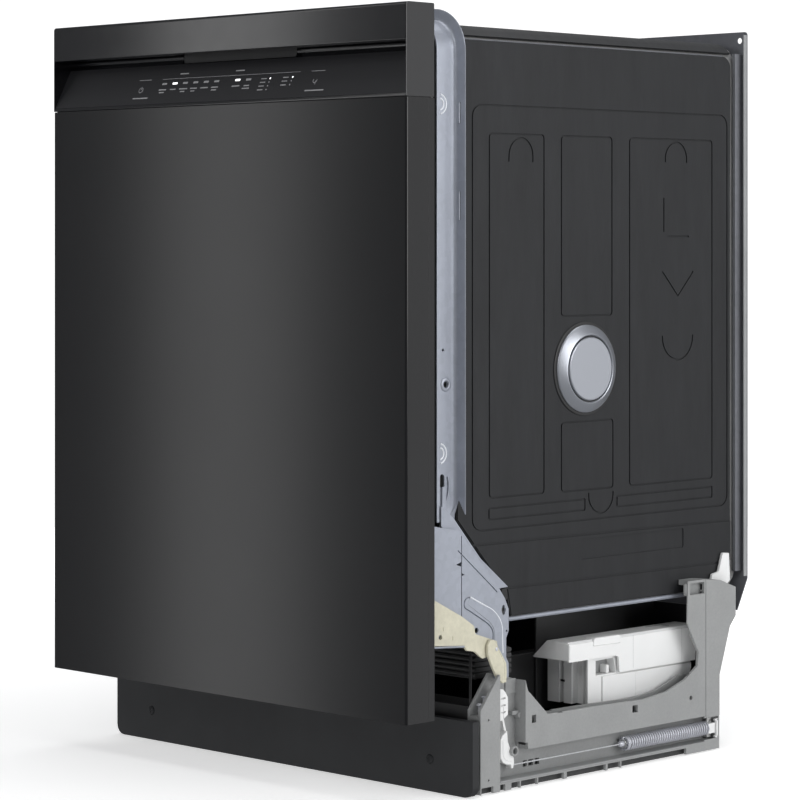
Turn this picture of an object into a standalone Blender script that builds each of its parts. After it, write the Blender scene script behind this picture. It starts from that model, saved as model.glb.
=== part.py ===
"""Built-in dishwasher, 24 inch class: door, tub, plastic base, counterbalance train, racks and water parts.

Lengths below are in millimetres and become metres in mm(). X is the width, -Y the front, +Z up, and the
origin lies on the floor under the middle of the machine. Pairs are made once for the right side (+X) and
once, mirrored, for the left.
"""

from math import cos, pi, radians, sin

import bmesh
import bpy
from mathutils import Matrix, Vector

# Driving dimensions
DOOR_HALF_WIDTH = 299.0
DOOR_FRONT = -300.0
DOOR_BACK = -257.0
DOOR_BOTTOM = 91.5
HEIGHT = 860.0
FASCIA_SEAM = 759.0
HANDLE_UNDERSIDE = 819.0
HANDLE_RECESS_DEPTH = 30.0
SKIN = 1.4

TUB_HALF_WIDTH = 272.0
TUB_FRONT = -221.0
TUB_BACK = 290.0
TUB_TOP = 842.0
TUB_FLOOR = 180.0
TUB_WALL = 1.2
TUB_RADIUS = 28.0
MAT_OUTSIDE = 277.1
TOP_MAT_THICKNESS = 3.6
TOP_MAT_END_ANGLE = 32

FLANGE_HALF_WIDTH = 292.0
FLANGE_TOP = 859.5
FLANGE_RADIUS = 48.0
FLANGE_BACK = -201.0
COLLAR_FRONT = -225.0
COLLAR_END = 318.0

BASE_OUTSIDE = 297.0
BASE_WALL_INSIDE = 277.5
BASE_WALL_OUTSIDE = 280.5
BASE_SKIN_INSIDE = 293.5
BASE_FRONT = -183.5
BASE_REAR = 229.6
TROUGH_FLOOR = 12.0
TROUGH_TOP = 42.0

PIVOT_Y, PIVOT_Z = -252.0, 150.0
LEVER_PIN_Y, LEVER_PIN_Z = -153.0, 157.0
ROPE_TOP_Y, ROPE_TOP_Z = -131.0, 66.0
CLIP_Y, CLIP_Z = -135.0, 97.0
ROPE_X = 287.5
ROPE_LOW_Z = 27.5
HOOK_Y = 60.0

PLATE_X = (281.5, 284.0)
LEVER_X = (284.8, 287.8)
LINK_X = (288.6, 292.4)
CLIP_X = (284.4, 291.9)

GAP = 0.35
RIGHT, LEFT = 1, -1


def mm(*values):
    """Millimetres to metres: one value stays a number, several become a vector."""
    if len(values) == 1:
        return values[0] / 1000
    return Vector(values) / 1000


for startup_object in list(bpy.data.objects):
    bpy.data.objects.remove(startup_object)

PARTS = bpy.data.collections.new("dishwasher")
CUTTERS = bpy.data.collections.new("cutters")
bpy.context.scene.collection.children.link(PARTS)
bpy.context.scene.collection.children.link(CUTTERS)


# Materials


def material(name, colour, roughness, metallic=0.0):
    made = bpy.data.materials.new(name)
    made.use_nodes = True
    shader = made.node_tree.nodes["Principled BSDF"]
    shader.inputs["Base Color"].default_value = (*colour, 1.0)
    shader.inputs["Roughness"].default_value = roughness
    shader.inputs["Metallic"].default_value = metallic
    return made


BLACK_STEEL = material("black_painted_steel", (0.030, 0.030, 0.032), 0.28)
BLACK_PLASTIC = material("black_plastic", (0.040, 0.040, 0.043), 0.30)
KICK_BLACK = material("kick_plate_black", (0.033, 0.034, 0.037), 0.45)
STAINLESS = material("stainless_steel", (0.62, 0.62, 0.61), 0.30, 1.0)
GALVANISED = material("galvanised_steel", (0.42, 0.45, 0.50), 0.42, 0.8)
SOUND_MAT = material("bitumen_mat", (0.045, 0.046, 0.050), 0.85)
FELT = material("grey_felt", (0.22, 0.22, 0.21), 0.95)
GREY_PLASTIC = material("grey_plastic", (0.30, 0.31, 0.32), 0.55)
WHITE_PLASTIC = material("white_plastic", (0.78, 0.79, 0.78), 0.40)
CREAM_PLASTIC = material("cream_acetal", (0.66, 0.61, 0.42), 0.45)
BRUSHED_CAP = material("brushed_cap", (0.42, 0.44, 0.46), 0.35, 0.9)
RUBBER = material("black_rubber", (0.02, 0.02, 0.02), 0.7)
ROPE = material("rope_cord", (0.55, 0.56, 0.58), 0.6)
SPRING_STEEL = material("spring_steel", (0.40, 0.40, 0.42), 0.35, 1.0)
NYLON_WIRE = material("nylon_coated_wire", (0.42, 0.44, 0.47), 0.35)
CIRCUIT_GREEN = material("circuit_board", (0.03, 0.17, 0.07), 0.5)


# Making and cutting solids


def add(mesh, name, finish, collection=PARTS):
    """A new object from a mesh, with its material, in its collection."""
    made = bpy.data.objects.new(name, mesh)
    collection.objects.link(made)
    if finish:
        made.data.materials.append(finish)
    if collection is CUTTERS:
        made.hide_render = True
        made.display_type = "WIRE"
    return made


def box_mesh(x, y, z):
    """A box between two values on each axis, from a unit cube."""
    shape = bmesh.new()
    bmesh.ops.create_cube(shape, size=1.0)
    low = mm(min(x), min(y), min(z))
    high = mm(max(x), max(y), max(z))
    size = high - low
    bmesh.ops.transform(
        shape,
        matrix=Matrix.Translation((low + high) / 2) @ Matrix.Diagonal((*size, 1.0)),
        verts=shape.verts,
    )
    mesh = bpy.data.meshes.new("box")
    shape.to_mesh(mesh)
    shape.free()
    return mesh


def box(name, x, y, z, finish, collection=PARTS, rounding=0.0):
    made = add(box_mesh(x, y, z), name, finish, collection)
    if rounding:
        bevel = made.modifiers.new("edges", "BEVEL")
        bevel.width = mm(rounding)
        bevel.segments = 2
        bevel.limit_method = "ANGLE"
    return made


AXIS_TURN = {
    "X": Matrix.Rotation(pi / 2, 4, "Y"),
    "Y": Matrix.Rotation(-pi / 2, 4, "X"),
    "Z": Matrix.Identity(4),
}


def cylinder(name, axis, centre, radius, length, finish, collection=PARTS, sides=20, end_radius=None):
    """A cylinder or a cone about a row axis, centred on its middle."""
    shape = bmesh.new()
    bmesh.ops.create_cone(
        shape,
        cap_ends=True,
        segments=sides,
        radius1=mm(radius),
        radius2=mm(radius if end_radius is None else end_radius),
        depth=mm(length),
    )
    bmesh.ops.transform(
        shape, matrix=Matrix.Translation(mm(*centre)) @ AXIS_TURN[axis], verts=shape.verts
    )
    mesh = bpy.data.meshes.new(name)
    shape.to_mesh(mesh)
    shape.free()
    mesh.shade_smooth()
    mesh.set_sharp_from_angle(angle=radians(35))
    return add(mesh, name, finish, collection)


def sheet(name, plane, outline, near, far, finish, collection=PARTS):
    """A flat outline with holes, given a thickness from near to far along the plane's normal.

    plane is YZ, XZ or XY. outline is a list of loops, the first outside and the rest holes.
    """
    curve = bpy.data.curves.new(name, "CURVE")
    curve.dimensions = "2D"
    curve.fill_mode = "BOTH"
    curve.extrude = mm(abs(far - near)) / 2
    for loop in outline:
        spline = curve.splines.new("POLY")
        spline.points.add(len(loop) - 1)
        for point, (across, up) in zip(spline.points, loop):
            point.co = (mm(across), mm(up), 0.0, 1.0)
        spline.use_cyclic_u = True
    drawn = bpy.data.objects.new(name, curve)
    bpy.context.scene.collection.objects.link(drawn)
    bpy.context.view_layer.update()
    mesh = bpy.data.meshes.new_from_object(
        drawn.evaluated_get(bpy.context.evaluated_depsgraph_get())
    )
    bpy.data.objects.remove(drawn)
    bpy.data.curves.remove(curve)
    middle = mm((near + far) / 2)
    stand = {
        "YZ": Matrix(((0, 0, 1, middle), (1, 0, 0, 0), (0, 1, 0, 0), (0, 0, 0, 1))),
        "XZ": Matrix(((1, 0, 0, 0), (0, 0, -1, middle), (0, 1, 0, 0), (0, 0, 0, 1))),
        "XY": Matrix(((1, 0, 0, 0), (0, 1, 0, 0), (0, 0, 1, middle), (0, 0, 0, 1))),
    }[plane]
    shape = bmesh.new()
    shape.from_mesh(mesh)
    bmesh.ops.remove_doubles(shape, verts=shape.verts, dist=1e-6)
    bmesh.ops.transform(shape, matrix=stand, verts=shape.verts)
    bmesh.ops.recalc_face_normals(shape, faces=shape.faces)
    shape.to_mesh(mesh)
    shape.free()
    mesh.materials.clear()
    return add(mesh, name, finish, collection)


def wire(name, points, radius, finish, collection=PARTS, sides=2):
    """A round bar along a path, as a closed mesh."""
    curve = bpy.data.curves.new(name, "CURVE")
    curve.dimensions = "3D"
    curve.bevel_depth = mm(radius)
    curve.bevel_resolution = sides
    curve.use_fill_caps = True
    spline = curve.splines.new("POLY")
    spline.points.add(len(points) - 1)
    for point, place in zip(spline.points, points):
        point.co = (*mm(*place), 1.0)
    drawn = bpy.data.objects.new(name, curve)
    bpy.context.scene.collection.objects.link(drawn)
    bpy.context.view_layer.update()
    mesh = bpy.data.meshes.new_from_object(
        drawn.evaluated_get(bpy.context.evaluated_depsgraph_get())
    )
    bpy.data.objects.remove(drawn)
    bpy.data.curves.remove(curve)
    shape = bmesh.new()
    shape.from_mesh(mesh)
    bmesh.ops.remove_doubles(shape, verts=shape.verts, dist=1e-6)
    bmesh.ops.recalc_face_normals(shape, faces=shape.faces)
    shape.to_mesh(mesh)
    shape.free()
    mesh.materials.clear()
    return add(mesh, name, finish, collection)


def combine(target, tools, operation):
    """Joins or cuts target with each tool through a Boolean, which stays on the object."""
    for tool in tools:
        step = target.modifiers.new(tool.name, "BOOLEAN")
        step.operation = operation
        step.object = tool


def cut(target, *tools):
    combine(target, tools, "DIFFERENCE")


def join(target, *tools):
    combine(target, tools, "UNION")


def cut_box(target, x, y, z):
    cut(target, box(target.name + "_pocket", x, y, z, None, CUTTERS))


def cut_round(target, axis, centre, radius, length, sides=16):
    cut(target, cylinder(target.name + "_hole", axis, centre, radius, length, None, CUTTERS, sides))


def join_box(target, x, y, z):
    join(target, box(target.name + "_block", x, y, z, None, CUTTERS))


def pivot(name, place, pieces):
    """An empty on a joint's axis, which carries the pieces that turn or slide with it."""
    empty = bpy.data.objects.new(name, None)
    empty.location = mm(*place)
    PARTS.objects.link(empty)
    bpy.context.view_layer.update()
    for piece in pieces:
        piece.parent = empty
        piece.matrix_parent_inverse = empty.matrix_world.inverted()
    return empty


# Outlines


def arc(centre, radius, start, end, steps=6):
    """Points round a centre from one angle to another, in degrees."""
    return [
        (
            centre[0] + radius * cos(radians(start + (end - start) * i / steps)),
            centre[1] + radius * sin(radians(start + (end - start) * i / steps)),
        )
        for i in range(steps + 1)
    ]


def circle(centre, radius, steps=16):
    return arc(centre, radius, 0, 360, steps)[:-1]


def rounded_box(low, high, radius, steps=4):
    """An upright rectangle with four round corners."""
    (x0, z0), (x1, z1) = low, high
    return (
        arc((x1 - radius, z1 - radius), radius, 0, 90, steps)
        + arc((x0 + radius, z1 - radius), radius, 90, 180, steps)
        + arc((x0 + radius, z0 + radius), radius, 180, 270, steps)
        + arc((x1 - radius, z0 + radius), radius, 270, 360, steps)
    )


def arch(half_width, top, radius, bottom, width):
    """A band of one width that runs up one side, over the top and down the other."""
    outer = arc((half_width - radius, top - radius), radius, 0, 90)
    outer += arc((radius - half_width, top - radius), radius, 90, 180)
    inner_radius = max(radius - width, 4.0)
    inner_side = half_width - width
    inner_top = top - width
    inner = arc((inner_radius - inner_side, inner_top - inner_radius), inner_radius, 180, 90)
    inner += arc((inner_side - inner_radius, inner_top - inner_radius), inner_radius, 90, 0)
    return (
        [(half_width, bottom)]
        + outer
        + [(-half_width, bottom), (-inner_side, bottom)]
        + inner
        + [(inner_side, bottom)]
    )


def span(side, inner, outer):
    """Two X values on the right or, mirrored, on the left."""
    return (side * inner, side * outer)


def side_name(base, side):
    return base + ("_right" if side == RIGHT else "_left")


# Base, kick plate and feet


def make_base_pan():
    """Black pan under the tub: floor, tall front, left and rear walls, and a low right wall for service."""
    pan = box("base_pan", (-276.8, 276.8), (-182.5, 229), (9, 168), BLACK_PLASTIC)
    cut_box(pan, (-273, 273), (-179, 225), (13, 180))
    cut_box(pan, (270, 280), (-176, 222), (62, 180))
    return pan


def make_base_side(side):
    """One moulded side frame: spring trough, front post, side panel, rear post and the hollow guide pin."""
    name = side_name("base_side", side)
    silhouette = [
        (BASE_FRONT, 1.0), (BASE_REAR, 1.0), (BASE_REAR, 86.0), (249.9, 144.0), (261.0, 156.0),
        (261.0, 190.0), (232.0, 200.6), (202.0, 204.0), (171.0, 204.0), (170.0, 154.7),
        (190.8, 119.3), (189.5, 103.1), (166.7, 89.3), (133.0, 78.8), (91.8, 74.5), (-2.0, 76.6),
        (-74.3, 77.3), (-107.0, 107.0), (-110.9, 119.0), (-152.0, 129.3), (-153.5, 129.3),
        (BASE_FRONT, 92.6),
    ]
    frame = sheet(name, "YZ", [silhouette], side * BASE_WALL_INSIDE, side * BASE_OUTSIDE, GREY_PLASTIC)
    open_out = span(side, BASE_WALL_OUTSIDE, BASE_OUTSIDE + 5)
    between = span(side, BASE_WALL_OUTSIDE, BASE_SKIN_INSIDE)
    cut_box(frame, open_out, (-152.0, -110.9), (TROUGH_FLOOR, 140))
    cut_box(frame, open_out, (-118.0, 202.0), (TROUGH_FLOOR, TROUGH_TOP))
    cut_box(frame, between, (-107.5, 187.0), (TROUGH_TOP + 3, 130))
    cut_box(frame, between, (-190.0, -155.0), (15, 82))
    cut_box(frame, between, (-190.0, -151.0), (86, 140))
    cut_box(frame, span(side, BASE_WALL_OUTSIDE, 295.0), (201.0, 228.0), (TROUGH_FLOOR, TROUGH_TOP + 16))
    cut_box(frame, span(side, 275, BASE_SKIN_INSIDE), (176.0, 256.0), (92, 198))
    cut_box(frame, span(side, 275, BASE_SKIN_INSIDE), (-178.0, 224.0), (-2, 8))
    pin_base = (side * (BASE_WALL_OUTSIDE + 8.0), -112.0, 42.0)
    tube = cylinder(name + "_pin", "X", pin_base, 6.2, 18.0, None, CUTTERS)
    join(frame, tube)
    cut_round(frame, "X", (side * (BASE_WALL_OUTSIDE + 13.0), -112.0, 42.0), 3.6, 22.0, 12)
    return frame


def make_toe_kick():
    outline = (
        [(-301, 82.7)]
        + arc((-289, 12), 12, 180, 270, 4)
        + arc((289, 12), 12, 270, 360, 4)
        + [(301, 82.7)]
    )
    kick = sheet("toe_kick", "XZ", [outline], -200, -190, KICK_BLACK)
    cut_box(kick, (-298.5, 298.5), (-198, -180), (5, 80))
    for x in (-236.0, 236.0):
        cut_round(kick, "Y", (x, -200, 35.5), 5.4, 20)
    return kick


def make_kick_screw(number, x):
    """A pan-head screw through the kick plate."""
    screw = cylinder(f"toe_kick_screw_{number}", "Y", (x, -193.5, 35.5), 5.0, 16.0, KICK_BLACK)
    cut(screw, box(screw.name + "_slot", (x - 3.6, x + 3.6), (-203, -200.4), (34.8, 36.2), None, CUTTERS))
    return screw


def make_foot(number, x, y):
    foot = cylinder(f"levelling_foot_{number}", "Z", (x, y, 2.8), 17.0, 5.6, GREY_PLASTIC, sides=24)
    join(foot, cylinder(foot.name + "_stem", "Z", (x, y, 6.0), 6.0, 5.2, None, CUTTERS, 12))
    return foot


# Tub, collar and rear panel


def make_tub():
    """Stainless tub, open at the front, with a sump opening in its floor and a rail under each side."""
    outside = rounded_box((-TUB_HALF_WIDTH, TUB_FLOOR), (TUB_HALF_WIDTH, TUB_TOP), TUB_RADIUS)
    tub = sheet("tub", "XZ", [outside], TUB_FRONT, TUB_BACK, STAINLESS)
    inside = rounded_box(
        (TUB_WALL - TUB_HALF_WIDTH, TUB_FLOOR + TUB_WALL),
        (TUB_HALF_WIDTH - TUB_WALL, TUB_TOP - TUB_WALL),
        TUB_RADIUS - TUB_WALL,
    )
    hollow = sheet("tub_hollow", "XZ", [inside], TUB_FRONT - 10, TUB_BACK - TUB_WALL, None, CUTTERS)
    cut(tub, hollow)
    cut_round(tub, "Z", (0, -60, TUB_FLOOR), 92.0, 30, 28)
    return tub


def make_front_collar():
    """Galvanised frame round the tub's mouth: a wall along Y and a flange that turns outwards."""
    flange = arch(FLANGE_HALF_WIDTH, FLANGE_TOP, FLANGE_RADIUS, COLLAR_END, 16.6)
    collar = sheet("front_collar", "XZ", [flange], FLANGE_BACK - 1.5, FLANGE_BACK, GALVANISED)
    wall = arch(276.0, 845.0, 32.0, COLLAR_END, 2.3)
    join(collar, sheet("collar_wall", "XZ", [wall], COLLAR_FRONT, FLANGE_BACK - 0.4, None, CUTTERS))
    for side in (RIGHT, LEFT):
        for low, high in ((632, 657), (726, 755)):
            cut_box(collar, span(side, 281, 287), (-210, -195), (low, high))
    return collar


def make_rear_panel():
    """Galvanised sheet behind the tub, with a turned lip along each upright edge."""
    half = 284.5
    outline = [
        (-half, 196), (-268.9, 156), (268.9, 156), (half, 196), (half, 857), (-half, 857),
    ]
    holes = [circle((x, 846.5), 3.5, 12) for x in (-269.6, 269.6)]
    panel = sheet("rear_panel", "XZ", [outline] + holes, 298.4, 300.0, GALVANISED)
    for side in (RIGHT, LEFT):
        join_box(panel, span(side, half - 1.5, half), (293, 299.5), (200, 857))
    return panel


def make_gasket():
    band = arch(268.6, 838.6, 24.0, 200.0, 9.0)
    return sheet("tub_gasket", "XZ", [band], -238, -221.5, RUBBER)


def make_side_mat(side):
    outline = (
        [(-199.0, 300.0), (-120.0, 215.0), (-112.0, 188.0), (255.0, 188.0)]
        + arc((267, 200), 10, 270, 360, 3)
        + arc((267, 816), 10, 0, 90, 3)
        + [(-199.0, 826.0)]
    )
    return sheet(
        side_name("side_mat", side), "YZ", [outline],
        side * (TUB_HALF_WIDTH + GAP), side * MAT_OUTSIDE, SOUND_MAT,
    )


def make_top_mat():
    """Mat over the tub's top, which wraps round both upper corners."""
    across = TUB_HALF_WIDTH - TUB_RADIUS
    up = TUB_TOP - TUB_RADIUS
    inner = TUB_RADIUS + GAP
    outer = inner + TOP_MAT_THICKNESS
    outline = (
        arc((across, up), outer, TOP_MAT_END_ANGLE, 90)
        + arc((-across, up), outer, 90, 180 - TOP_MAT_END_ANGLE)
        + arc((-across, up), inner, 180 - TOP_MAT_END_ANGLE, 90)
        + arc((across, up), inner, 90, TOP_MAT_END_ANGLE)
    )
    return sheet("top_mat", "XZ", [outline], -198, 284, SOUND_MAT)


def make_vent_cap():
    cap = cylinder("vent_cap", "X", (281.7, 11.0, 459.0), 50.0, 6.6, BRUSHED_CAP, sides=40)
    join(cap, cylinder("vent_disc", "X", (284.2, 11.0, 459.0), 37.0, 5.6, None, CUTTERS, 40))
    return cap


# Hinges and the counterbalance train


def make_hinge_plate(side):
    """Pressed steel plate that carries the door pivot, with its pin and a strengthening bead."""
    name = side_name("hinge_plate", side)
    outline = [
        (-256.0, 300.0), (-205.0, 290.0), (-140.0, 222.0), (-130.5, 210.0), (-124.5, 198.0),
        (-124.5, 174.0), (-128.5, 166.0), (-128.5, 145.0), (-124.5, 138.0), (-124.5, 122.7),
        (-146.0, 122.7), (-149.0, 160.0), (-160.0, 168.5), (-247.0, 168.5), (-247.0, 145.8),
        (-254.4, 145.8), (-256.6, 149.0),
    ]
    holes = [circle((-132.5, 197.4), 3.6, 10), circle((-176.0, 178.9), 3.2, 10)]
    plate = sheet(name, "YZ", [outline] + holes, side * PLATE_X[0], side * PLATE_X[1], GALVANISED)
    shaft = (side * 285.0, PIVOT_Y, PIVOT_Z)
    join(plate, cylinder(name + "_pin", "X", shaft, 2.6, 7.4, None, CUTTERS, 12))
    return plate


def make_hinge_lever(side):
    """Cream lever fixed to the door. Its rear end pulls the rope through the link."""
    name = side_name("hinge_lever", side)
    outline = [
        (-256.6, 223.0), (-247.0, 219.0), (-203.0, 197.0), (-184.0, 185.0), (-182.0, 176.0),
        (-162.0, 169.5), (-147.5, 165.0), (-146.0, 157.0), (-150.0, 150.0), (-159.0, 149.5),
        (-170.7, 148.0), (-183.0, 157.0), (-195.0, 159.0), (-200.0, 165.0), (-245.0, 169.0),
        (-247.0, 166.0), (-247.0, 145.5), (-256.6, 145.5),
    ]
    holes = [circle((PIVOT_Y, PIVOT_Z), 2.75, 16), circle((-236.5, 177.6), 2.8, 10)]
    holes.append(circle((LEVER_PIN_Y, LEVER_PIN_Z), 3.3, 16))
    return sheet(name, "YZ", [outline] + holes, side * LEVER_X[0], side * LEVER_X[1], CREAM_PLASTIC)


def make_hinge_link(side):
    """Cream link that hangs from the lever's end, with its own pin through the lever."""
    name = side_name("hinge_link", side)
    outline = [
        (-153.0, 168.4), (-147.0, 166.0), (-141.5, 147.0), (-133.5, 136.0), (-132.0, 124.5),
        (-137.0, 118.5), (-143.5, 122.5), (-151.5, 131.3), (-162.0, 147.5), (-160.0, 163.0),
    ]
    link = sheet(name, "YZ", [outline], side * LINK_X[0], side * LINK_X[1], CREAM_PLASTIC)
    pin = (side * (LINK_X[0] - 1.4), LEVER_PIN_Y, LEVER_PIN_Z)
    join(link, cylinder(name + "_pin", "X", pin, 3.0, 5.0, None, CUTTERS, 16))
    return link


def make_rope_clip(side):
    name = side_name("rope_clip", side)
    outline = [
        (-139.0, 84.5), (-128.0, 86.0), (-126.0, 92.0), (-126.0, 102.0), (-130.0, 109.0),
        (-136.0, 112.0), (-141.0, 108.0), (-143.0, 100.0), (-143.0, 90.0),
    ]
    return sheet(name, "YZ", [outline], side * CLIP_X[0], side * CLIP_X[1], WHITE_PLASTIC)


def make_rope_upper(side):
    start = (side * ROPE_X, ROPE_TOP_Y, ROPE_TOP_Z)
    end = (side * ROPE_X, CLIP_Y + 0.6, 84.0)
    return wire(side_name("rope_upper", side), [start, end], 1.3, ROPE)


def make_rope_lower(side):
    start = (side * ROPE_X, -114.2, ROPE_LOW_Z)
    end = (side * ROPE_X, HOOK_Y - 5.4, ROPE_LOW_Z)
    return wire(side_name("rope_lower", side), [start, end], 1.3, ROPE)


def make_rope_guide(side):
    """White quarter-round guide that turns the rope from the trough up to the clip."""
    centre = (-112.0, 42.0)
    outline = (
        [(-141.5, 42.0), (-141.5, 52.0), (-134.0, 65.3), (-126.0, 65.3), (-126.0, 50.0)]
        + arc(centre, 7.0, 150, 280, 5)
        + [(-113.5, 30.5), (-119.5, 24.0), (-124.5, 23.0)]
        + arc((-125.0, 39.0), 16.0, 255, 195, 4)
    )
    return sheet(
        side_name("rope_guide", side), "YZ", [outline], side * 281.0, side * 291.5, WHITE_PLASTIC
    )


def make_spring(side):
    """The counterbalance spring's envelope: a tube between the hook and the rear anchor."""
    name = side_name("spring", side)
    low, high = HOOK_Y + 5.4, 213.5
    place = (side * ROPE_X, (low + high) / 2, ROPE_LOW_Z)
    return cylinder(name, "Y", place, 6.8, high - low, SPRING_STEEL, sides=16)


def make_spring_hook(side):
    name = side_name("spring_hook", side)
    return box(
        name, span(side, 283.5, 291.5), (HOOK_Y - 5, HOOK_Y + 5), (22.5, 32.5), SPRING_STEEL, rounding=1.2
    )


def make_spring_anchor(side):
    name = side_name("spring_anchor", side)
    return box(name, span(side, 281.2, 293.0), (214.0, 227.5), (13.0, 45.0), WHITE_PLASTIC, rounding=1.5)


# Water parts and electrics


def make_sump():
    """Sump bowl under the tub floor: a turned shell, open at the top."""
    bowl = cylinder("sump", "Z", (0, -60, 142.0), 60.0, 74.0, BLACK_PLASTIC, sides=28, end_radius=88.0)
    cut(bowl, cylinder("sump_hollow", "Z", (0, -60, 145.5), 56.0, 74.0, None, CUTTERS, 28, 85.0))
    return bowl


def make_circulation_pump():
    pump = cylinder("circulation_pump", "Y", (-130, -60, 112), 38, 120, BLACK_PLASTIC, sides=24)
    join(pump, cylinder("pump_neck", "X", (-92, -60, 114), 10, 34, None, CUTTERS, 16))
    return pump


def make_drain_pump():
    pump = cylinder("drain_pump", "Y", (0, 62, 108), 26, 70, GREY_PLASTIC, sides=20)
    join(pump, cylinder("drain_spout", "Y", (0, 112, 108), 9, 40, None, CUTTERS, 12))
    return pump


def make_power_module():
    housing = box("power_module_housing", (222, 270), (-21, 206), (80, 126.5), WHITE_PLASTIC)
    cut_box(housing, (225, 267), (-17, 202), (83, 140))
    for y in (-20.8, 206.0):
        sign = 1 if y > 0 else -1
        for x in (228, 236, 244, 252, 260):
            join_box(housing, (x, x + 2), (y - sign, y + 2.2 * sign), (84, 122))
    outline = [
        (219, 127.5), (275, 127.5), (275, 139), (268, 148), (240, 148), (232, 139), (219, 139),
    ]
    lid = sheet("power_module_lid", "XZ", [outline], -24, 209, WHITE_PLASTIC)
    cut_box(lid, (268, 280), (57, 65), (120, 150))
    return housing, lid


def make_feed_pipe():
    route = [(0, 262, 196), (0, 270, 206), (0, 274, 230), (0, 274, 470), (0, 270, 500), (0, 262, 512)]
    pipe = wire("spray_feed_pipe", route, 9.0, BLACK_PLASTIC, sides=3)
    return pipe


# Door


def make_door_panel():
    panel = box(
        "door_panel", (-DOOR_HALF_WIDTH, DOOR_HALF_WIDTH), (DOOR_FRONT, DOOR_BACK),
        (DOOR_BOTTOM, FASCIA_SEAM - 0.6), BLACK_STEEL,
    )
    inside = DOOR_HALF_WIDTH - SKIN
    cut_box(panel, (-inside, inside), (DOOR_FRONT + SKIN, 0), (DOOR_BOTTOM + SKIN, HEIGHT))
    return panel


def make_control_fascia():
    """Console and pocket handle in one moulding: a bar along the top, a slanted console below it."""
    inside = DOOR_HALF_WIDTH - SKIN
    fascia = box(
        "control_fascia", (-DOOR_HALF_WIDTH, DOOR_HALF_WIDTH), (DOOR_FRONT, DOOR_BACK),
        (FASCIA_SEAM, HEIGHT), BLACK_PLASTIC,
    )
    slope = [
        (DOOR_FRONT - 5, FASCIA_SEAM + 0.8), (DOOR_FRONT, FASCIA_SEAM + 0.8),
        (DOOR_FRONT + HANDLE_RECESS_DEPTH, HANDLE_UNDERSIDE), (DOOR_FRONT - 5, HANDLE_UNDERSIDE),
    ]
    cut(fascia, sheet("console_slope", "YZ", [slope], -293.5, 293.5, None, CUTTERS))
    cut_box(fascia, (-92, 100), (-291, -271), (HANDLE_UNDERSIDE - 1, HANDLE_UNDERSIDE + 26))
    rear = [
        (-260.3, FASCIA_SEAM - 1), (-296.5, FASCIA_SEAM - 1), (-268.5, 815.5),
        (-264.0, 857.0), (-260.3, 857.0),
    ]
    cut(fascia, sheet("fascia_hollow", "YZ", [rear], -inside, inside, None, CUTTERS))
    cut_box(fascia, (-inside, inside), (-260.4, 0), (FASCIA_SEAM - 1, 857.2))
    return fascia


def make_door_liner():
    """Inner steel door, with a raised field that reaches into the tub and an opening for the dispenser."""
    liner = box("door_liner", (-296.3, 296.3), (-258.9, -257.3), (94.5, 856.5), STAINLESS)
    join_box(liner, (-250, 250), (-258, -243), (205, 815))
    cut_box(liner, (-248.8, 248.8), (-270, -244.2), (206.2, 813.8))
    cut_box(liner, (-75, 75), (-270, -230), (430, 560))
    cut_box(liner, (-22, 22), (-270, -250), (834, 852))
    return liner


def make_door_fillings():
    insulation = box("door_insulation", (-285, 285), (-296, -275), (110, 740), FELT)
    board = box("control_board", (-130, 130), (-264.5, -261.5), (768, 806), CIRCUIT_GREEN)
    latch = box("door_latch", (-21, 21), (-259, -247), (835, 851), BLACK_PLASTIC, rounding=1.0)
    return insulation, board, latch


def make_dispenser():
    """Detergent and rinse aid dispenser in the liner, with its sliding lid and its rinse cap."""
    body = box("dispenser_body", (-74.5, 74.5), (-268, -241), (430.5, 559.5), GREY_PLASTIC)
    cut_box(body, (-58, 8), (-264, -230), (448, 534))
    cut_round(body, "Y", (44, -246, 490), 12.0, 30, 20)
    lid = box("dispenser_lid", (-63, 13), (-240.6, -237.6), (443, 539), GREY_PLASTIC, rounding=0.8)
    cap = cylinder("rinse_cap", "Y", (44, -239.2, 490), 15.5, 2.8, GREY_PLASTIC, sides=24)
    join_box(cap, (40, 48), (-240.6, -237.8), (500, 509))
    return body, lid, cap


# Racks, spray arms and filter


def make_rack(name, x, y, z, cells):
    """An open wire basket: a lattice on the floor and the four sides of a box."""
    shape = bmesh.new()
    bmesh.ops.create_cube(shape, size=1.0)
    low = mm(x[0], y[0], z[0])
    high = mm(x[1], y[1], z[1])
    bmesh.ops.transform(
        shape,
        matrix=Matrix.Translation((low + high) / 2) @ Matrix.Diagonal((*(high - low), 1.0)),
        verts=shape.verts,
    )
    lid = [face for face in shape.faces if face.normal.z > 0.9]
    bmesh.ops.delete(shape, geom=lid, context="FACES_ONLY")
    for axis, count in enumerate(cells):
        for step in range(1, count):
            place = low.copy()
            place[axis] += (high[axis] - low[axis]) * step / count
            normal = Vector((0, 0, 0))
            normal[axis] = 1
            bmesh.ops.bisect_plane(
                shape, geom=shape.verts[:] + shape.edges[:] + shape.faces[:],
                plane_co=place, plane_no=normal,
            )
    mesh = bpy.data.meshes.new(name)
    shape.to_mesh(mesh)
    shape.free()
    rack = add(mesh, name, NYLON_WIRE)
    bars = rack.modifiers.new("bars", "WIREFRAME")
    bars.thickness = mm(4.0)
    bars.use_boundary = True
    bars.use_replace = True
    bars.use_even_offset = True
    return rack


def make_cutlery_basket():
    basket = box("cutlery_basket", (-118, 118), (-196, -128), (212, 318), GREY_PLASTIC)
    for i in range(4):
        low = -115.5 + 58.0 * i
        cut_box(basket, (low, low + 56.0), (-193.5, -130.5), (214.5, 330))
    return basket


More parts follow.
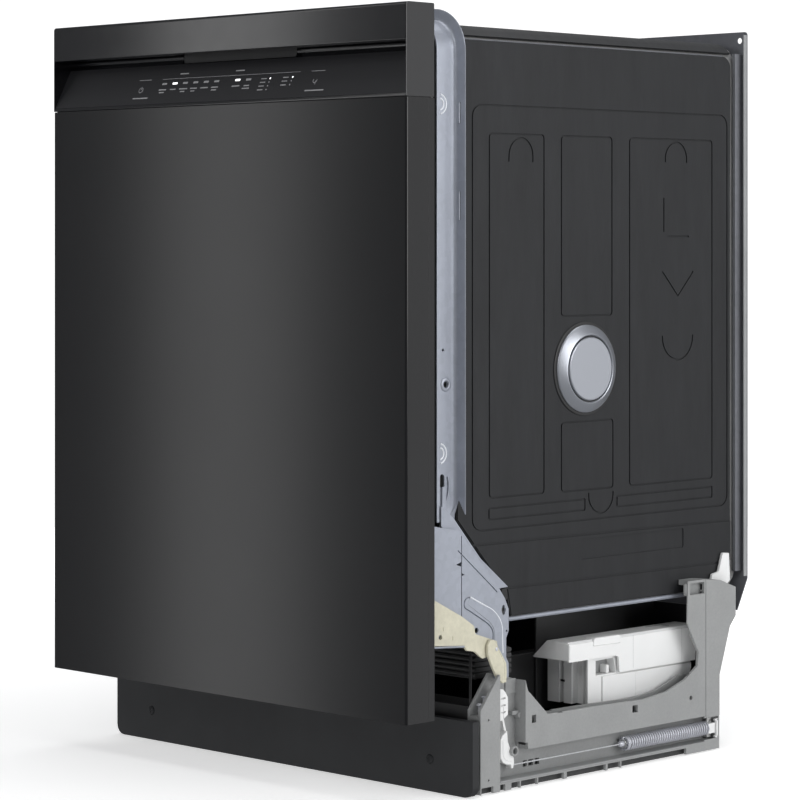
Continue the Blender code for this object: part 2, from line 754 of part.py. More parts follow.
def make_spray_arm(name, z, half_length, centre_y):
    """A flat arm with round ends and a hub, about a vertical axis."""
    ends = 22.0
    outline = (
        arc((half_length - ends, centre_y), ends, -90, 90, 8)
        + [(30, centre_y + 30), (-30, centre_y + 30)]
        + arc((ends - half_length, centre_y), ends, 90, 270, 8)
        + [(-30, centre_y - 30), (30, centre_y - 30)]
    )
    return sheet(name, "XY", [outline], z, z + 11.0, GREY_PLASTIC)


def make_filter():
    well = cylinder("filter_cylinder", "Z", (0, -60, 152), 42, 66, GREY_PLASTIC, sides=24)
    cut(well, cylinder("filter_hollow", "Z", (0, -60, 156), 38.5, 66, None, CUTTERS, 24))
    join_box(well, (-40, 40), (-62, -58), (168, 184))
    return well


def make_rack_rail(side):
    return box(
        side_name("rack_rail", side), span(side, 255.0, 269.5), (-205, 240), (558, 575), STAINLESS,
        rounding=2.0,
    )


def main():
    make_base_pan()
    make_toe_kick()
    for number, x in enumerate((-236.0, 236.0), start=1):
        make_kick_screw(number, x)
    for number, (x, y) in enumerate(((-235, -150), (235, -150), (0, 200)), start=1):
        make_foot(number, x, y)
    make_tub()
    make_front_collar()
    make_rear_panel()
    make_gasket()
    make_top_mat()
    make_vent_cap()
    make_sump()
    make_circulation_pump()
    make_drain_pump()
    make_power_module()
    make_feed_pipe()

    door_pieces = [make_door_panel(), make_control_fascia(), make_door_liner(), *make_door_fillings()]
    dispenser_body, dispenser_lid, rinse_cap = make_dispenser()
    door_pieces.append(dispenser_body)
    lid_slide = pivot("dispenser_lid_slide", (-25, -239.1, 491), [dispenser_lid])
    cap_pivot = pivot("rinse_cap_pivot", (44, -239.2, 490), [rinse_cap])
    door_pieces += [lid_slide, cap_pivot]
    for side in (RIGHT, LEFT):
        make_base_side(side)
        make_side_mat(side)
        make_hinge_plate(side)
        make_rope_guide(side)
        make_rope_lower(side)
        make_spring(side)
        make_spring_anchor(side)
        make_rack_rail(side)
        door_pieces.append(make_hinge_lever(side))
        link_place = (side * LINK_X[0], LEVER_PIN_Y, LEVER_PIN_Z)
        pivot(side_name("link_pivot", side), link_place, [make_hinge_link(side)])
        rope_place = (side * ROPE_X, ROPE_TOP_Y, ROPE_TOP_Z)
        pivot(side_name("rope_pivot", side), rope_place, [make_rope_upper(side), make_rope_clip(side)])
        hook_place = (side * ROPE_X, HOOK_Y, ROPE_LOW_Z)
        pivot(side_name("hook_slide", side), hook_place, [make_spring_hook(side)])
    pivot("door_pivot", (0, PIVOT_Y, PIVOT_Z), door_pieces)

    lower = make_rack("lower_rack", (-246, 246), (-206, 240), (209, 322), (7, 6, 2))
    pivot("lower_rack_slide", (0, 17, 209), [lower, make_cutlery_basket()])
    upper = make_rack("upper_rack", (-246, 246), (-206, 240), (560, 660), (7, 6, 2))
    pivot("upper_rack_slide", (0, 17, 560), [upper])
    pivot("lower_arm_pivot", (0, 17, 192), [make_spray_arm("lower_spray_arm", 189.0, 215.0, 17.0)])
    pivot("upper_arm_pivot", (0, 17, 540), [make_spray_arm("upper_spray_arm", 536.0, 195.0, 17.0)])
    pivot("filter_pivot", (0, -60, 152), [make_filter()])


main()
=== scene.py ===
"""Looks of the built-in dishwasher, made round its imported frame.

Lengths are in millimetres and become metres in mm(). X is the width, -Y the front and +Z up. A piece that
comes as a pair is drawn on the right side (+X) and, mirrored, on the left.
"""

from math import atan2, cos, hypot, pi, radians, sin

import bmesh
import bpy
from mathutils import Matrix, Vector


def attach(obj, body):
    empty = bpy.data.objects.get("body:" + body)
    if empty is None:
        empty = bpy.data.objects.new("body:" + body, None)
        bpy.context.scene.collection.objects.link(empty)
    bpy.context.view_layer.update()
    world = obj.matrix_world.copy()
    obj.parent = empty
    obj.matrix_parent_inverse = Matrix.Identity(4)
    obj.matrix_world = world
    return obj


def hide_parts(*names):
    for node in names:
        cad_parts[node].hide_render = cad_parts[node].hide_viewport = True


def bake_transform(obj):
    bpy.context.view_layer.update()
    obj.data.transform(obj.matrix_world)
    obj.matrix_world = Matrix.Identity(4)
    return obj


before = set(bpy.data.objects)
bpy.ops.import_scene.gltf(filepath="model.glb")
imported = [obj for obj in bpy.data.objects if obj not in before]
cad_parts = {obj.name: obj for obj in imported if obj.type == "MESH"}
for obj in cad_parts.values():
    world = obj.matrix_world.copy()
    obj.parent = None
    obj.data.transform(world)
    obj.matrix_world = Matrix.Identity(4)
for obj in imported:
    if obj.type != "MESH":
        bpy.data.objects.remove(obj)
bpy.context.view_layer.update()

RIGHT, LEFT = 1, -1
SIDES = ((RIGHT, "right"), (LEFT, "left"))
SAME_PLACE = 1e-6  # corners nearer than this, in metres, are one corner
FLAT = radians(0.5)  # faces that meet at less than this are one flat face
EDGE_ANGLE = radians(32)  # edges sharper than this are rounded
CAP_CENTRE = (0, 11.0, 459.0)
SPRING_X, SPRING_Z = 289.4, 26.0
STRAP_X = 287.5


def mm(*values):
    """Millimetres to metres: one value stays a number, several become a vector."""
    if len(values) == 1:
        return values[0] / 1000
    return Vector(values) / 1000


# Camera, light and floor


def set_camera():
    camera = bpy.data.objects.new("camera", bpy.data.cameras.new("camera"))
    camera.location = mm(2490.6, -2500.9, 614.0)
    camera.rotation_euler = (radians(90.0), 0.0, radians(44.2356))
    camera.data.lens = 131.867
    camera.data.sensor_width = 36.0
    camera.data.shift_x = -0.04903
    camera.data.shift_y = -0.20911
    camera.data.clip_end = 60.0
    bpy.context.scene.collection.objects.link(camera)
    bpy.context.scene.camera = camera


def add_soft_box(name, place, target, size, power):
    lamp = bpy.data.lights.new(name, "AREA")
    lamp.shape = "RECTANGLE"
    lamp.size, lamp.size_y = size
    lamp.energy = power
    holder = bpy.data.objects.new(name, lamp)
    holder.location = place
    holder.rotation_euler = (Vector(target) - Vector(place)).to_track_quat("-Z", "Y").to_euler()
    bpy.context.scene.collection.objects.link(holder)
    holder.visible_camera = False


def set_studio():
    """A pale room: a white surround, with one tall soft box for the door's sheen and one for the side."""
    world = bpy.data.worlds.new("studio")
    bpy.context.scene.world = world
    world.use_nodes = True
    nodes, links = world.node_tree.nodes, world.node_tree.links
    room = nodes["Background"]
    room.inputs["Color"].default_value = (0.86, 0.88, 0.92, 1.0)
    room.inputs["Strength"].default_value = 0.20
    backdrop = nodes.new("ShaderNodeBackground")
    backdrop.inputs["Color"].default_value = (1.0, 1.0, 1.0, 1.0)
    backdrop.inputs["Strength"].default_value = 1.15
    seen = nodes.new("ShaderNodeLightPath")
    mix = nodes.new("ShaderNodeMixShader")
    links.new(seen.outputs["Is Camera Ray"], mix.inputs[0])
    links.new(room.outputs[0], mix.inputs[1])
    links.new(backdrop.outputs[0], mix.inputs[2])
    links.new(mix.outputs[0], nodes["World Output"].inputs["Surface"])
    add_soft_box("door_box", (-1.28, -1.46, 0.45), (-0.01, -0.30, 0.45), (0.25, 3.6), 3.9)
    add_soft_box("side_box", (3.6, 0.7, 1.5), (0.28, 0.0, 0.4), (2.2, 2.4), 66.0)
    add_soft_box("key_box", (1.9, -3.4, 2.4), (0.1, -0.1, 0.35), (1.8, 1.6), 34.0)
    add_soft_box("top_box", (0.0, 0.3, 3.2), (0.0, 0.0, 0.4), (2.6, 2.6), 50.0)
    add_soft_box("edge_box", (3.3, 2.9, 0.2), (0.29, 0.0, 0.45), (2.4, 3.4), 15.0)
    bpy.context.scene.view_settings.view_transform = "Standard"


# Finishes


def new_finish(name):
    made = bpy.data.materials.new(name)
    made.use_nodes = True
    shader = made.node_tree.nodes["Principled BSDF"]
    return made, shader


def node_maker(material):
    nodes, links = material.node_tree.nodes, material.node_tree.links

    def make(kind, **values):
        node = nodes.new("ShaderNode" + kind)
        for key, value in values.items():
            if hasattr(node, key) and key not in node.inputs:
                setattr(node, key, value)
            else:
                node.inputs[key.replace("_", " ")].default_value = value
        return node

    return make, links.new


def placed(make, link, stretch=(1.0, 1.0, 1.0), centre=(0.0, 0.0, 0.0)):
    """Object coordinates, moved so that centre is at zero and stretched on each axis."""
    source = make("TexCoord")
    mapping = make("Mapping")
    mapping.inputs["Location"].default_value = [-c * s for c, s in zip(centre, stretch)]
    mapping.inputs["Scale"].default_value = stretch
    link(source.outputs["Object"], mapping.inputs["Vector"])
    return mapping.outputs["Vector"]


def tone(colour, share):
    return (*[min(1.0, c * share) for c in colour], 1.0)


def surface(
    name, colour, roughness, metallic=0.0, mottle=0.05, mottle_scale=14.0, stretch=(1, 1, 1),
    grain=0.02, grain_scale=1800.0, grain_stretch=(1, 1, 1), rough_swing=0.05, spangle=0.0,
    specular=0.5, second_mottle=0.0,
):
    """A moulded, painted or rolled surface.

    mottle is the share by which its colour wanders, grain the depth of its fine texture in millimetres, and
    spangle the share by which the crystals of a zinc coat differ.
    """
    material, shader = new_finish(name)
    make, link = node_maker(material)
    place = placed(make, link, stretch)
    drift = make("TexNoise", Scale=mottle_scale, Detail=5.0, Roughness=0.6)
    link(place, drift.inputs["Vector"])
    ramp = make("ValToRGB")
    ramp.color_ramp.elements[0].position = 0.3
    ramp.color_ramp.elements[1].position = 0.7
    ramp.color_ramp.elements[0].color = tone(colour, 1.0 - mottle)
    ramp.color_ramp.elements[1].color = tone(colour, 1.0 + mottle)
    link(drift.outputs["Fac"], ramp.inputs["Fac"])
    shade = ramp.outputs["Color"]
    fine_place = placed(make, link, grain_stretch)
    if spangle:
        crystals = make("TexVoronoi", Scale=150.0)
        link(fine_place, crystals.inputs["Vector"])
        soften = make("MixRGB", blend_type="MULTIPLY")
        soften.inputs["Fac"].default_value = spangle
        level = make("SeparateColor")
        link(crystals.outputs["Color"], level.inputs[0])
        step = make("MapRange")
        step.inputs["To Min"].default_value = 0.72
        step.inputs["To Max"].default_value = 1.12
        link(level.outputs[0], step.inputs["Value"])
        link(shade, soften.inputs["Color1"])
        link(step.outputs["Result"], soften.inputs["Color2"])
        shade = soften.outputs["Color"]
    if second_mottle:
        speckle = make("TexNoise", Scale=grain_scale * 0.22, Detail=3.0, Roughness=0.75)
        link(fine_place, speckle.inputs["Vector"])
        level = make("MapRange")
        level.inputs["From Min"].default_value = 0.3
        level.inputs["From Max"].default_value = 0.7
        level.inputs["To Min"].default_value = 1.0 - second_mottle
        level.inputs["To Max"].default_value = 1.0 + second_mottle
        link(speckle.outputs["Fac"], level.inputs["Value"])
        spread = make("MixRGB", blend_type="MULTIPLY")
        spread.inputs["Fac"].default_value = 1.0
        link(shade, spread.inputs["Color1"])
        link(level.outputs["Result"], spread.inputs["Color2"])
        shade = spread.outputs["Color"]
    link(shade, shader.inputs["Base Color"])
    wander = make("TexNoise", Scale=mottle_scale * 3.1, Detail=4.0)
    link(place, wander.inputs["Vector"])
    rough = make("MapRange")
    rough.inputs["To Min"].default_value = max(0.03, roughness - rough_swing)
    rough.inputs["To Max"].default_value = min(1.0, roughness + rough_swing)
    link(wander.outputs["Fac"], rough.inputs["Value"])
    link(rough.outputs["Result"], shader.inputs["Roughness"])
    if grain:
        texture = make("TexNoise", Scale=grain_scale, Detail=3.0, Roughness=0.55)
        link(fine_place, texture.inputs["Vector"])
        bump = make("Bump")
        bump.inputs["Strength"].default_value = 1.0
        bump.inputs["Distance"].default_value = mm(grain)
        link(texture.outputs["Fac"], bump.inputs["Height"])
        link(bump.outputs["Normal"], shader.inputs["Normal"])
    shader.inputs["Metallic"].default_value = metallic
    shader.inputs["Specular IOR Level"].default_value = specular
    return material


def spun_metal(name, colour, roughness, centre):
    """Metal brushed in rings round an X axis through centre."""
    material, shader = new_finish(name)
    make, link = node_maker(material)
    place = placed(make, link, (0.0, 1.0, 1.0), centre)
    length = make("VectorMath", operation="LENGTH")
    link(place, length.inputs[0])
    rings = make("TexNoise", noise_dimensions="1D", Scale=2600.0, Detail=4.0)
    link(length.outputs["Value"], rings.inputs["W"])
    ramp = make("ValToRGB")
    ramp.color_ramp.elements[0].color = tone(colour, 0.9)
    ramp.color_ramp.elements[1].color = tone(colour, 1.1)
    link(rings.outputs["Fac"], ramp.inputs["Fac"])
    link(ramp.outputs["Color"], shader.inputs["Base Color"])
    rough = make("MapRange")
    rough.inputs["To Min"].default_value = roughness - 0.06
    rough.inputs["To Max"].default_value = roughness + 0.08
    link(rings.outputs["Fac"], rough.inputs["Value"])
    link(rough.outputs["Result"], shader.inputs["Roughness"])
    bump = make("Bump")
    bump.inputs["Distance"].default_value = mm(0.02)
    link(rings.outputs["Fac"], bump.inputs["Height"])
    link(bump.outputs["Normal"], shader.inputs["Normal"])
    shader.inputs["Metallic"].default_value = 0.85
    return material


def lamp_finish(name, colour, strength):
    material, shader = new_finish(name)
    make, link = node_maker(material)
    glow = make("TexNoise", Scale=300.0)
    link(placed(make, link), glow.inputs["Vector"])
    ramp = make("ValToRGB")
    ramp.color_ramp.elements[0].color = tone(colour, 0.9)
    ramp.color_ramp.elements[1].color = tone(colour, 1.0)
    link(glow.outputs["Fac"], ramp.inputs["Fac"])
    link(ramp.outputs["Color"], shader.inputs["Base Color"])
    shader.inputs["Emission Color"].default_value = (*colour, 1.0)
    shader.inputs["Emission Strength"].default_value = strength
    shader.inputs["Roughness"].default_value = 0.4
    return material


DOOR_ENAMEL = surface(
    "door_enamel", (0.0052, 0.0052, 0.0060), 0.19, mottle=0.03, mottle_scale=3.0, grain=0.004,
    grain_scale=900.0, rough_swing=0.012, specular=0.55,
)
CONSOLE_BLACK = surface(
    "console_black", (0.0040, 0.0040, 0.0052), 0.16, mottle=0.06, grain=0.008, grain_scale=1500.0,
    rough_swing=0.03, specular=0.95,
)
CONSOLE_FACE = surface(
    "console_face_black", (0.0190, 0.0190, 0.0212), 0.42, mottle=0.05, grain=0.006, grain_scale=1500.0,
    rough_swing=0.02, specular=0.5,
)
# A dark grey for painted shade: it lines the hollows under the base's ledge.
PAINTED_SHADE_GREY = surface("painted_shade_grey", (0.045, 0.046, 0.047), 0.6, mottle=0.12, grain=0.04, grain_scale=900.0)
KICK_BLACK = surface(
    "kick_plate_black", (0.024, 0.025, 0.027), 0.5, mottle=0.1, grain=0.02, grain_scale=900.0, specular=0.45,
)
INSIDE_BLACK = surface(
    "moulded_black", (0.018, 0.018, 0.019), 0.45, mottle=0.15, grain=0.03, grain_scale=1100.0,
)
BELLOWS_BLACK = surface(
    "bellows_black", (0.030, 0.030, 0.031), 0.38, mottle=0.2, grain=0.04, grain_scale=700.0,
)
RUBBER = surface("black_rubber", (0.012, 0.012, 0.012), 0.7, mottle=0.2, grain=0.05, grain_scale=900.0)
SOUND_MAT = surface(
    "bitumen_mat", (0.0122, 0.0130, 0.0150), 0.62, mottle=0.16, mottle_scale=11.0, stretch=(1.0, 2.6, 0.5),
    grain=0.10, grain_scale=420.0, grain_stretch=(1.0, 2.2, 0.45), rough_swing=0.08, second_mottle=0.10,
)
GALVANISED = surface(
    "zinc_coated_steel", (0.40, 0.425, 0.485), 0.44, metallic=0.55, mottle=0.05, mottle_scale=9.0,
    grain=0.012, grain_scale=800.0, rough_swing=0.05, spangle=0.20,
)
REAR_STEEL = surface(
    "rear_sheet_steel", (0.195, 0.20, 0.22), 0.45, metallic=0.5, mottle=0.06, stretch=(1, 1, 0.3),
    grain=0.02, grain_scale=700.0, spangle=0.25,
)
STAINLESS = surface(
    "brushed_stainless", (0.60, 0.60, 0.59), 0.34, metallic=0.8, mottle=0.03, grain=0.006, grain_scale=500.0,
    grain_stretch=(1.0, 1.0, 22.0), rough_swing=0.07,
)
GREY_PLASTIC = surface(
    "moulded_grey", (0.275, 0.280, 0.280), 0.5, mottle=0.05, mottle_scale=20.0, grain=0.05,
    grain_scale=1300.0, second_mottle=0.05,
)
POST_GREY = surface(
    "light_grey_plastic", (0.28, 0.285, 0.29), 0.48, mottle=0.05, mottle_scale=18.0, grain=0.05,
    grain_scale=1200.0, second_mottle=0.04,
)
WHITE_PLASTIC = surface(
    "moulded_white", (0.76, 0.765, 0.762), 0.38, mottle=0.025, grain=0.03, grain_scale=1500.0,
)
# Zinc painted much lighter: the painted highlights on the collar's embossed rings and the plate channel's
# outer edge.
ZINC_PAINTED_HIGHLIGHT = surface("zinc_painted_highlight", (0.80, 0.82, 0.86), 0.35, metallic=0.25, mottle=0.03, grain=0.006)
CREAM = surface(
    "cream_acetal", (0.56, 0.535, 0.42), 0.48, mottle=0.07, mottle_scale=55.0, grain=0.06, grain_scale=900.0,
    second_mottle=0.06,
)
CAP_METAL = spun_metal("spun_cap_metal", (0.48, 0.50, 0.545), 0.36, mm(*CAP_CENTRE))
SPRING_STEEL = surface(
    "spring_wire", (0.60, 0.61, 0.66), 0.36, metallic=0.35, mottle=0.1, grain=0.01, grain_scale=900.0,
)
CORD = surface(
    "rope_cord", (0.50, 0.51, 0.53), 0.6, mottle=0.2, mottle_scale=600.0, grain=0.08, grain_scale=2400.0,
)
RACK_NYLON = surface(
    "nylon_coated_wire", (0.36, 0.38, 0.41), 0.34, mottle=0.05, grain=0.02, grain_scale=700.0,
)
PRINT_GREY = surface("printed_grey", (0.40, 0.40, 0.41), 0.5, mottle=0.05, grain=0.0)
LIT_WHITE = lamp_finish("lit_white", (1.0, 1.0, 1.0), 1.3)
FELT = surface(
    "grey_felt", (0.22, 0.22, 0.21), 0.95, mottle=0.2, mottle_scale=90.0, grain=0.3, grain_scale=700.0,
)
CIRCUIT = surface("circuit_laminate", (0.03, 0.17, 0.07), 0.5, mottle=0.1, grain=0.02)


def floor_finish():
    """Matt pale floor, which glows softly further out so that it meets the pale room."""
    material, shader = new_finish("pale_floor")
    make, link = node_maker(material)
    place = placed(make, link)
    length = make("VectorMath", operation="LENGTH")
    link(place, length.inputs[0])
    glow = make("MapRange", interpolation_type="SMOOTHSTEP")
    glow.inputs["From Min"].default_value = 0.5
    glow.inputs["From Max"].default_value = 2.3
    glow.inputs["To Min"].default_value = 0.52
    glow.inputs["To Max"].default_value = 1.0
    link(length.outputs["Value"], glow.inputs["Value"])
    link(glow.outputs["Result"], shader.inputs["Emission Strength"])
    shader.inputs["Emission Color"].default_value = (1.0, 1.0, 1.0, 1.0)
    cloud = make("TexNoise", Scale=3.0)
    link(place, cloud.inputs["Vector"])
    ramp = make("ValToRGB")
    ramp.color_ramp.elements[0].color = (0.80, 0.80, 0.80, 1.0)
    ramp.color_ramp.elements[1].color = (0.83, 0.83, 0.83, 1.0)
    link(cloud.outputs["Fac"], ramp.inputs["Fac"])
    link(ramp.outputs["Color"], shader.inputs["Base Color"])
    shader.inputs["Roughness"].default_value = 0.9
    return material


FLOOR = floor_finish()


# From outlines to finished pieces


def weld(shape):
    bmesh.ops.remove_doubles(shape, verts=shape.verts, dist=SAME_PLACE)


def join_flat_faces(shape):
    bmesh.ops.dissolve_limit(shape, angle_limit=FLAT, verts=shape.verts, edges=shape.edges)


def face_out(shape):
    bmesh.ops.recalc_face_normals(shape, faces=shape.faces)


def transform(shape, matrix):
    bmesh.ops.transform(shape, matrix=matrix, verts=shape.verts)


def evaluated_mesh(piece):
    """A plain mesh of an object as its modifiers make it."""
    bpy.context.view_layer.update()
    return bpy.data.meshes.new_from_object(piece.evaluated_get(bpy.context.evaluated_depsgraph_get()))


def apply_modifiers(piece):
    before = piece.data
    after = evaluated_mesh(piece)
    piece.modifiers.clear()
    piece.data = after
    bpy.data.meshes.remove(before)


def weigh_normals(piece, smooth):
    """Shades smooth below an angle, with the large faces kept flat beside their rounded edges."""
    piece.data.shade_smooth()
    piece.data.set_sharp_from_angle(angle=radians(smooth))
    weights = piece.modifiers.new("weights", "WEIGHTED_NORMAL")
    weights.keep_sharp = True
    apply_modifiers(piece)


def new_piece(name, shape, side):
    """An object from a shape: corners merged, mirrored for the left, and faces turned out."""
    weld(shape)
    if side == LEFT:
        transform(shape, Matrix.Diagonal((-1, 1, 1, 1)))
    face_out(shape)
    mesh = bpy.data.meshes.new(name)
    shape.to_mesh(mesh)
    shape.free()
    made = bpy.data.objects.new(name, mesh)
    bpy.context.scene.collection.objects.link(made)
    return made


def loose_piece(name, shape, finish, side, smooth=50):
    """A finished piece with no body of its own, for what stretches between two bodies."""
    made = new_piece(name, shape, side)
    made.data.shade_smooth()
    made.data.set_sharp_from_angle(angle=radians(smooth))
    made.data.materials.append(finish)
    return made


def settle(name, shape, finish, body, side=RIGHT, soften=0.0, steps=2, smooth=38):
    """A finished piece with rounded edges, put on the body that it moves with."""
    made = new_piece(name, shape, side)
    if soften:
        rounding = made.modifiers.new("rounding", "BEVEL")
        rounding.width = mm(soften)
        rounding.segments = steps
        rounding.limit_method = "ANGLE"
        rounding.angle_limit = EDGE_ANGLE
        apply_modifiers(made)
    weigh_normals(made, smooth)
    made.data.materials.clear()
    made.data.materials.append(finish)
    made.data.name = name
    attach(made, body)
    return made


PLANES = {
    "YZ": lambda depth: Matrix(((0, 0, 1, depth), (1, 0, 0, 0), (0, 1, 0, 0), (0, 0, 0, 1))),
    "XZ": lambda depth: Matrix(((1, 0, 0, 0), (0, 0, -1, depth), (0, 1, 0, 0), (0, 0, 0, 1))),
    "XY": lambda depth: Matrix(((1, 0, 0, 0), (0, 1, 0, 0), (0, 0, 1, depth), (0, 0, 0, 1))),
}


def sheet_shape(plane, loops, near, far):
    """A flat outline, with further loops for holes, thick from near to far along the plane's normal."""
    curve = bpy.data.curves.new("outline", "CURVE")
    curve.dimensions = "2D"
    curve.fill_mode = "BOTH"
    curve.extrude = mm(abs(far - near)) / 2
    for loop in loops:
        spline = curve.splines.new("POLY")
        spline.points.add(len(loop) - 1)
        for point, (across, up) in zip(spline.points, loop):
            point.co = (mm(across), mm(up), 0.0, 1.0)
        spline.use_cyclic_u = True
    drawn = bpy.data.objects.new("outline", curve)
    bpy.context.scene.collection.objects.link(drawn)
    mesh = evaluated_mesh(drawn)
    bpy.data.objects.remove(drawn)
    bpy.data.curves.remove(curve)
    shape = bmesh.new()
    shape.from_mesh(mesh)
    bpy.data.meshes.remove(mesh)
    weld(shape)
    join_flat_faces(shape)
    transform(shape, PLANES[plane](mm((near + far) / 2)))
    return shape


def box_shape(x, y, z):
    shape = bmesh.new()
    bmesh.ops.create_cube(shape, size=1.0)
    low = mm(min(x), min(y), min(z))
    high = mm(max(x), max(y), max(z))
    scale = Matrix.Diagonal((*(high - low), 1.0))
    transform(shape, Matrix.Translation((low + high) / 2) @ scale)
    return shape


def merged(*shapes):
    """One bmesh from several, which are freed."""
    whole = bmesh.new()
    for shape in shapes:
        mesh = bpy.data.meshes.new("part")
        shape.to_mesh(mesh)
        shape.free()
        whole.from_mesh(mesh)
        bpy.data.meshes.remove(mesh)
    return whole


def helper_object(name, shape):
    """A welded shape as an object, for a Boolean; the shape is freed."""
    weld(shape)
    face_out(shape)
    helper = bpy.data.objects.new(name, bpy.data.meshes.new(name))
    shape.to_mesh(helper.data)
    shape.free()
    bpy.context.scene.collection.objects.link(helper)
    return helper


def cut_shape(shape, *tools, joined=False):
    """Cuts one shape with others, or joins them, by an exact Boolean."""
    target = helper_object("target", shape)
    helpers = [helper_object("tool", tool) for tool in tools]
    for helper in helpers:
        step = target.modifiers.new("cut", "BOOLEAN")
        step.operation = "UNION" if joined else "DIFFERENCE"
        step.object = helper
    mesh = evaluated_mesh(target)
    for helper in [*helpers, target]:
        data = helper.data
        bpy.data.objects.remove(helper)
        bpy.data.meshes.remove(data)
    result = bmesh.new()
    result.from_mesh(mesh)
    bpy.data.meshes.remove(mesh)
    join_flat_faces(result)
    return result


def join_shapes(shape, *tools):
    return cut_shape(shape, *tools, joined=True)


ALONG = {
    "X": Matrix.Rotation(pi / 2, 4, "Y"),
    "Y": Matrix.Rotation(-pi / 2, 4, "X"),
    "Z": Matrix.Identity(4),
}


def tube_shape(axis, centre, radius, length, sides=24):
    shape = bmesh.new()
    bmesh.ops.create_cone(
        shape, cap_ends=True, segments=sides, radius1=mm(radius), radius2=mm(radius), depth=mm(length),
    )
    transform(shape, Matrix.Translation(mm(*centre)) @ ALONG[axis])
    return shape


def turned_shape(axis, centre, profile, sides=48):
    """A shape turned about an axis through centre, from a list of (radius, distance along the axis)."""
    shape = bmesh.new()
    turns = [2 * pi * i / sides for i in range(sides)]
    rings = []
    for radius, along in profile:
        if radius < 1e-6:
            rings.append([shape.verts.new((0.0, 0.0, mm(along)))])
            continue
        places = [(mm(radius) * cos(turn), mm(radius) * sin(turn), mm(along)) for turn in turns]
        rings.append([shape.verts.new(place) for place in places])
    for lower, upper in zip(rings, rings[1:]):
        for i in range(sides):
            corners = [lower[i % len(lower)], lower[(i + 1) % len(lower)]]
            corners += [upper[(i + 1) % len(upper)], upper[i % len(upper)]]
            shape.faces.new(list(dict.fromkeys(corners)))
    transform(shape, Matrix.Translation(mm(*centre)) @ ALONG[axis])
    return shape


def lofted_shape(stations):
    """A skin through closed cross-sections with the same number of points, closed at both ends."""
    shape = bmesh.new()
    rows = [[shape.verts.new(mm(*point)) for point in section] for section in stations]
    count = len(rows[0])
    for first, second in zip(rows, rows[1:]):
        for i in range(count):
            shape.faces.new((first[i], first[(i + 1) % count], second[(i + 1) % count], second[i]))
    shape.faces.new(rows[0][::-1])
    shape.faces.new(rows[-1])
    return shape


def arc(centre, radius, start, end, steps=8):
    return [
        (
            centre[0] + radius * cos(radians(start + (end - start) * i / steps)),
            centre[1] + radius * sin(radians(start + (end - start) * i / steps)),
        )
        for i in range(steps + 1)
    ]


def circle(centre, radius, steps=24):
    return arc(centre, radius, 0, 360, steps)[:-1]


def rounded_box(low, high, radius, steps=6):
    (x0, z0), (x1, z1) = low, high
    return (
        arc((x1 - radius, z1 - radius), radius, 0, 90, steps)
        + arc((x0 + radius, z1 - radius), radius, 90, 180, steps)
        + arc((x0 + radius, z0 + radius), radius, 180, 270, steps)
        + arc((x1 - radius, z0 + radius), radius, 270, 360, steps)
    )


def across_path(path, i):
    """Unit vector at right angles to a flat path at its point i."""
    before = path[max(i - 1, 0)]
    after = path[min(i + 1, len(path) - 1)]
    run = hypot(after[0] - before[0], after[1] - before[1])
    return (before[1] - after[1]) / run, (after[0] - before[0]) / run


def groove(path, width):
    """The outline of a narrow groove of one width along an open path."""
    left, right = [], []
    for i, point in enumerate(path):
        across = across_path(path, i)
        left.append((point[0] + across[0] * width / 2, point[1] + across[1] * width / 2))
        right.append((point[0] - across[0] * width / 2, point[1] - across[1] * width / 2))
    return left + right[::-1]


# Node trees for what repeats or follows a path


def new_tree(name, inputs):
    tree = bpy.data.node_groups.new(name, "GeometryNodeTree")
    tree.interface.new_socket("Geometry", in_out="INPUT", socket_type="NodeSocketGeometry")
    for label, kind in inputs:
        tree.interface.new_socket(label, in_out="INPUT", socket_type="NodeSocket" + kind)
    tree.interface.new_socket("Geometry", in_out="OUTPUT", socket_type="NodeSocketGeometry")
    return tree, tree.nodes.new("NodeGroupInput"), tree.nodes.new("NodeGroupOutput")


def end_tree(tree, entry, leave, geometry):
    """Every tree ends by realising its copies and giving them their finish."""
    real = tree.nodes.new("GeometryNodeRealizeInstances")
    coat = tree.nodes.new("GeometryNodeSetMaterial")
    tree.links.new(geometry, real.inputs[0])
    tree.links.new(real.outputs[0], coat.inputs["Geometry"])
    tree.links.new(entry.outputs["Finish"], coat.inputs["Material"])
    tree.links.new(coat.outputs[0], leave.inputs["Geometry"])
    return tree


def swept_tree():
    """Edges become round bars."""
    tree, entry, leave = new_tree(
        "swept_bar", [("Radius", "Float"), ("Sides", "Int"), ("Finish", "Material")],
    )
    link = tree.links.new
    path = tree.nodes.new("GeometryNodeMeshToCurve")
    section = tree.nodes.new("GeometryNodeCurvePrimitiveCircle")
    skin = tree.nodes.new("GeometryNodeCurveToMesh")
    skin.inputs["Fill Caps"].default_value = True
    link(entry.outputs["Geometry"], path.inputs["Mesh"])
    link(entry.outputs["Radius"], section.inputs["Radius"])
    link(entry.outputs["Sides"], section.inputs["Resolution"])
    link(path.outputs["Curve"], skin.inputs["Curve"])
    link(section.outputs["Curve"], skin.inputs["Profile Curve"])
    return end_tree(tree, entry, leave, skin.outputs["Mesh"])


def row_tree():
    """The piece that comes in is repeated Count times, each one Step further."""
    tree, entry, leave = new_tree(
        "repeated_row", [("Count", "Int"), ("Step", "Vector"), ("Finish", "Material")],
    )
    link = tree.links.new
    line = tree.nodes.new("GeometryNodeMeshLine")
    copies = tree.nodes.new("GeometryNodeInstanceOnPoints")
    link(entry.outputs["Count"], line.inputs["Count"])
    link(entry.outputs["Step"], line.inputs["Offset"])
    link(line.outputs["Mesh"], copies.inputs["Points"])
    link(entry.outputs["Geometry"], copies.inputs["Instance"])
    return end_tree(tree, entry, leave, copies.outputs["Instances"])


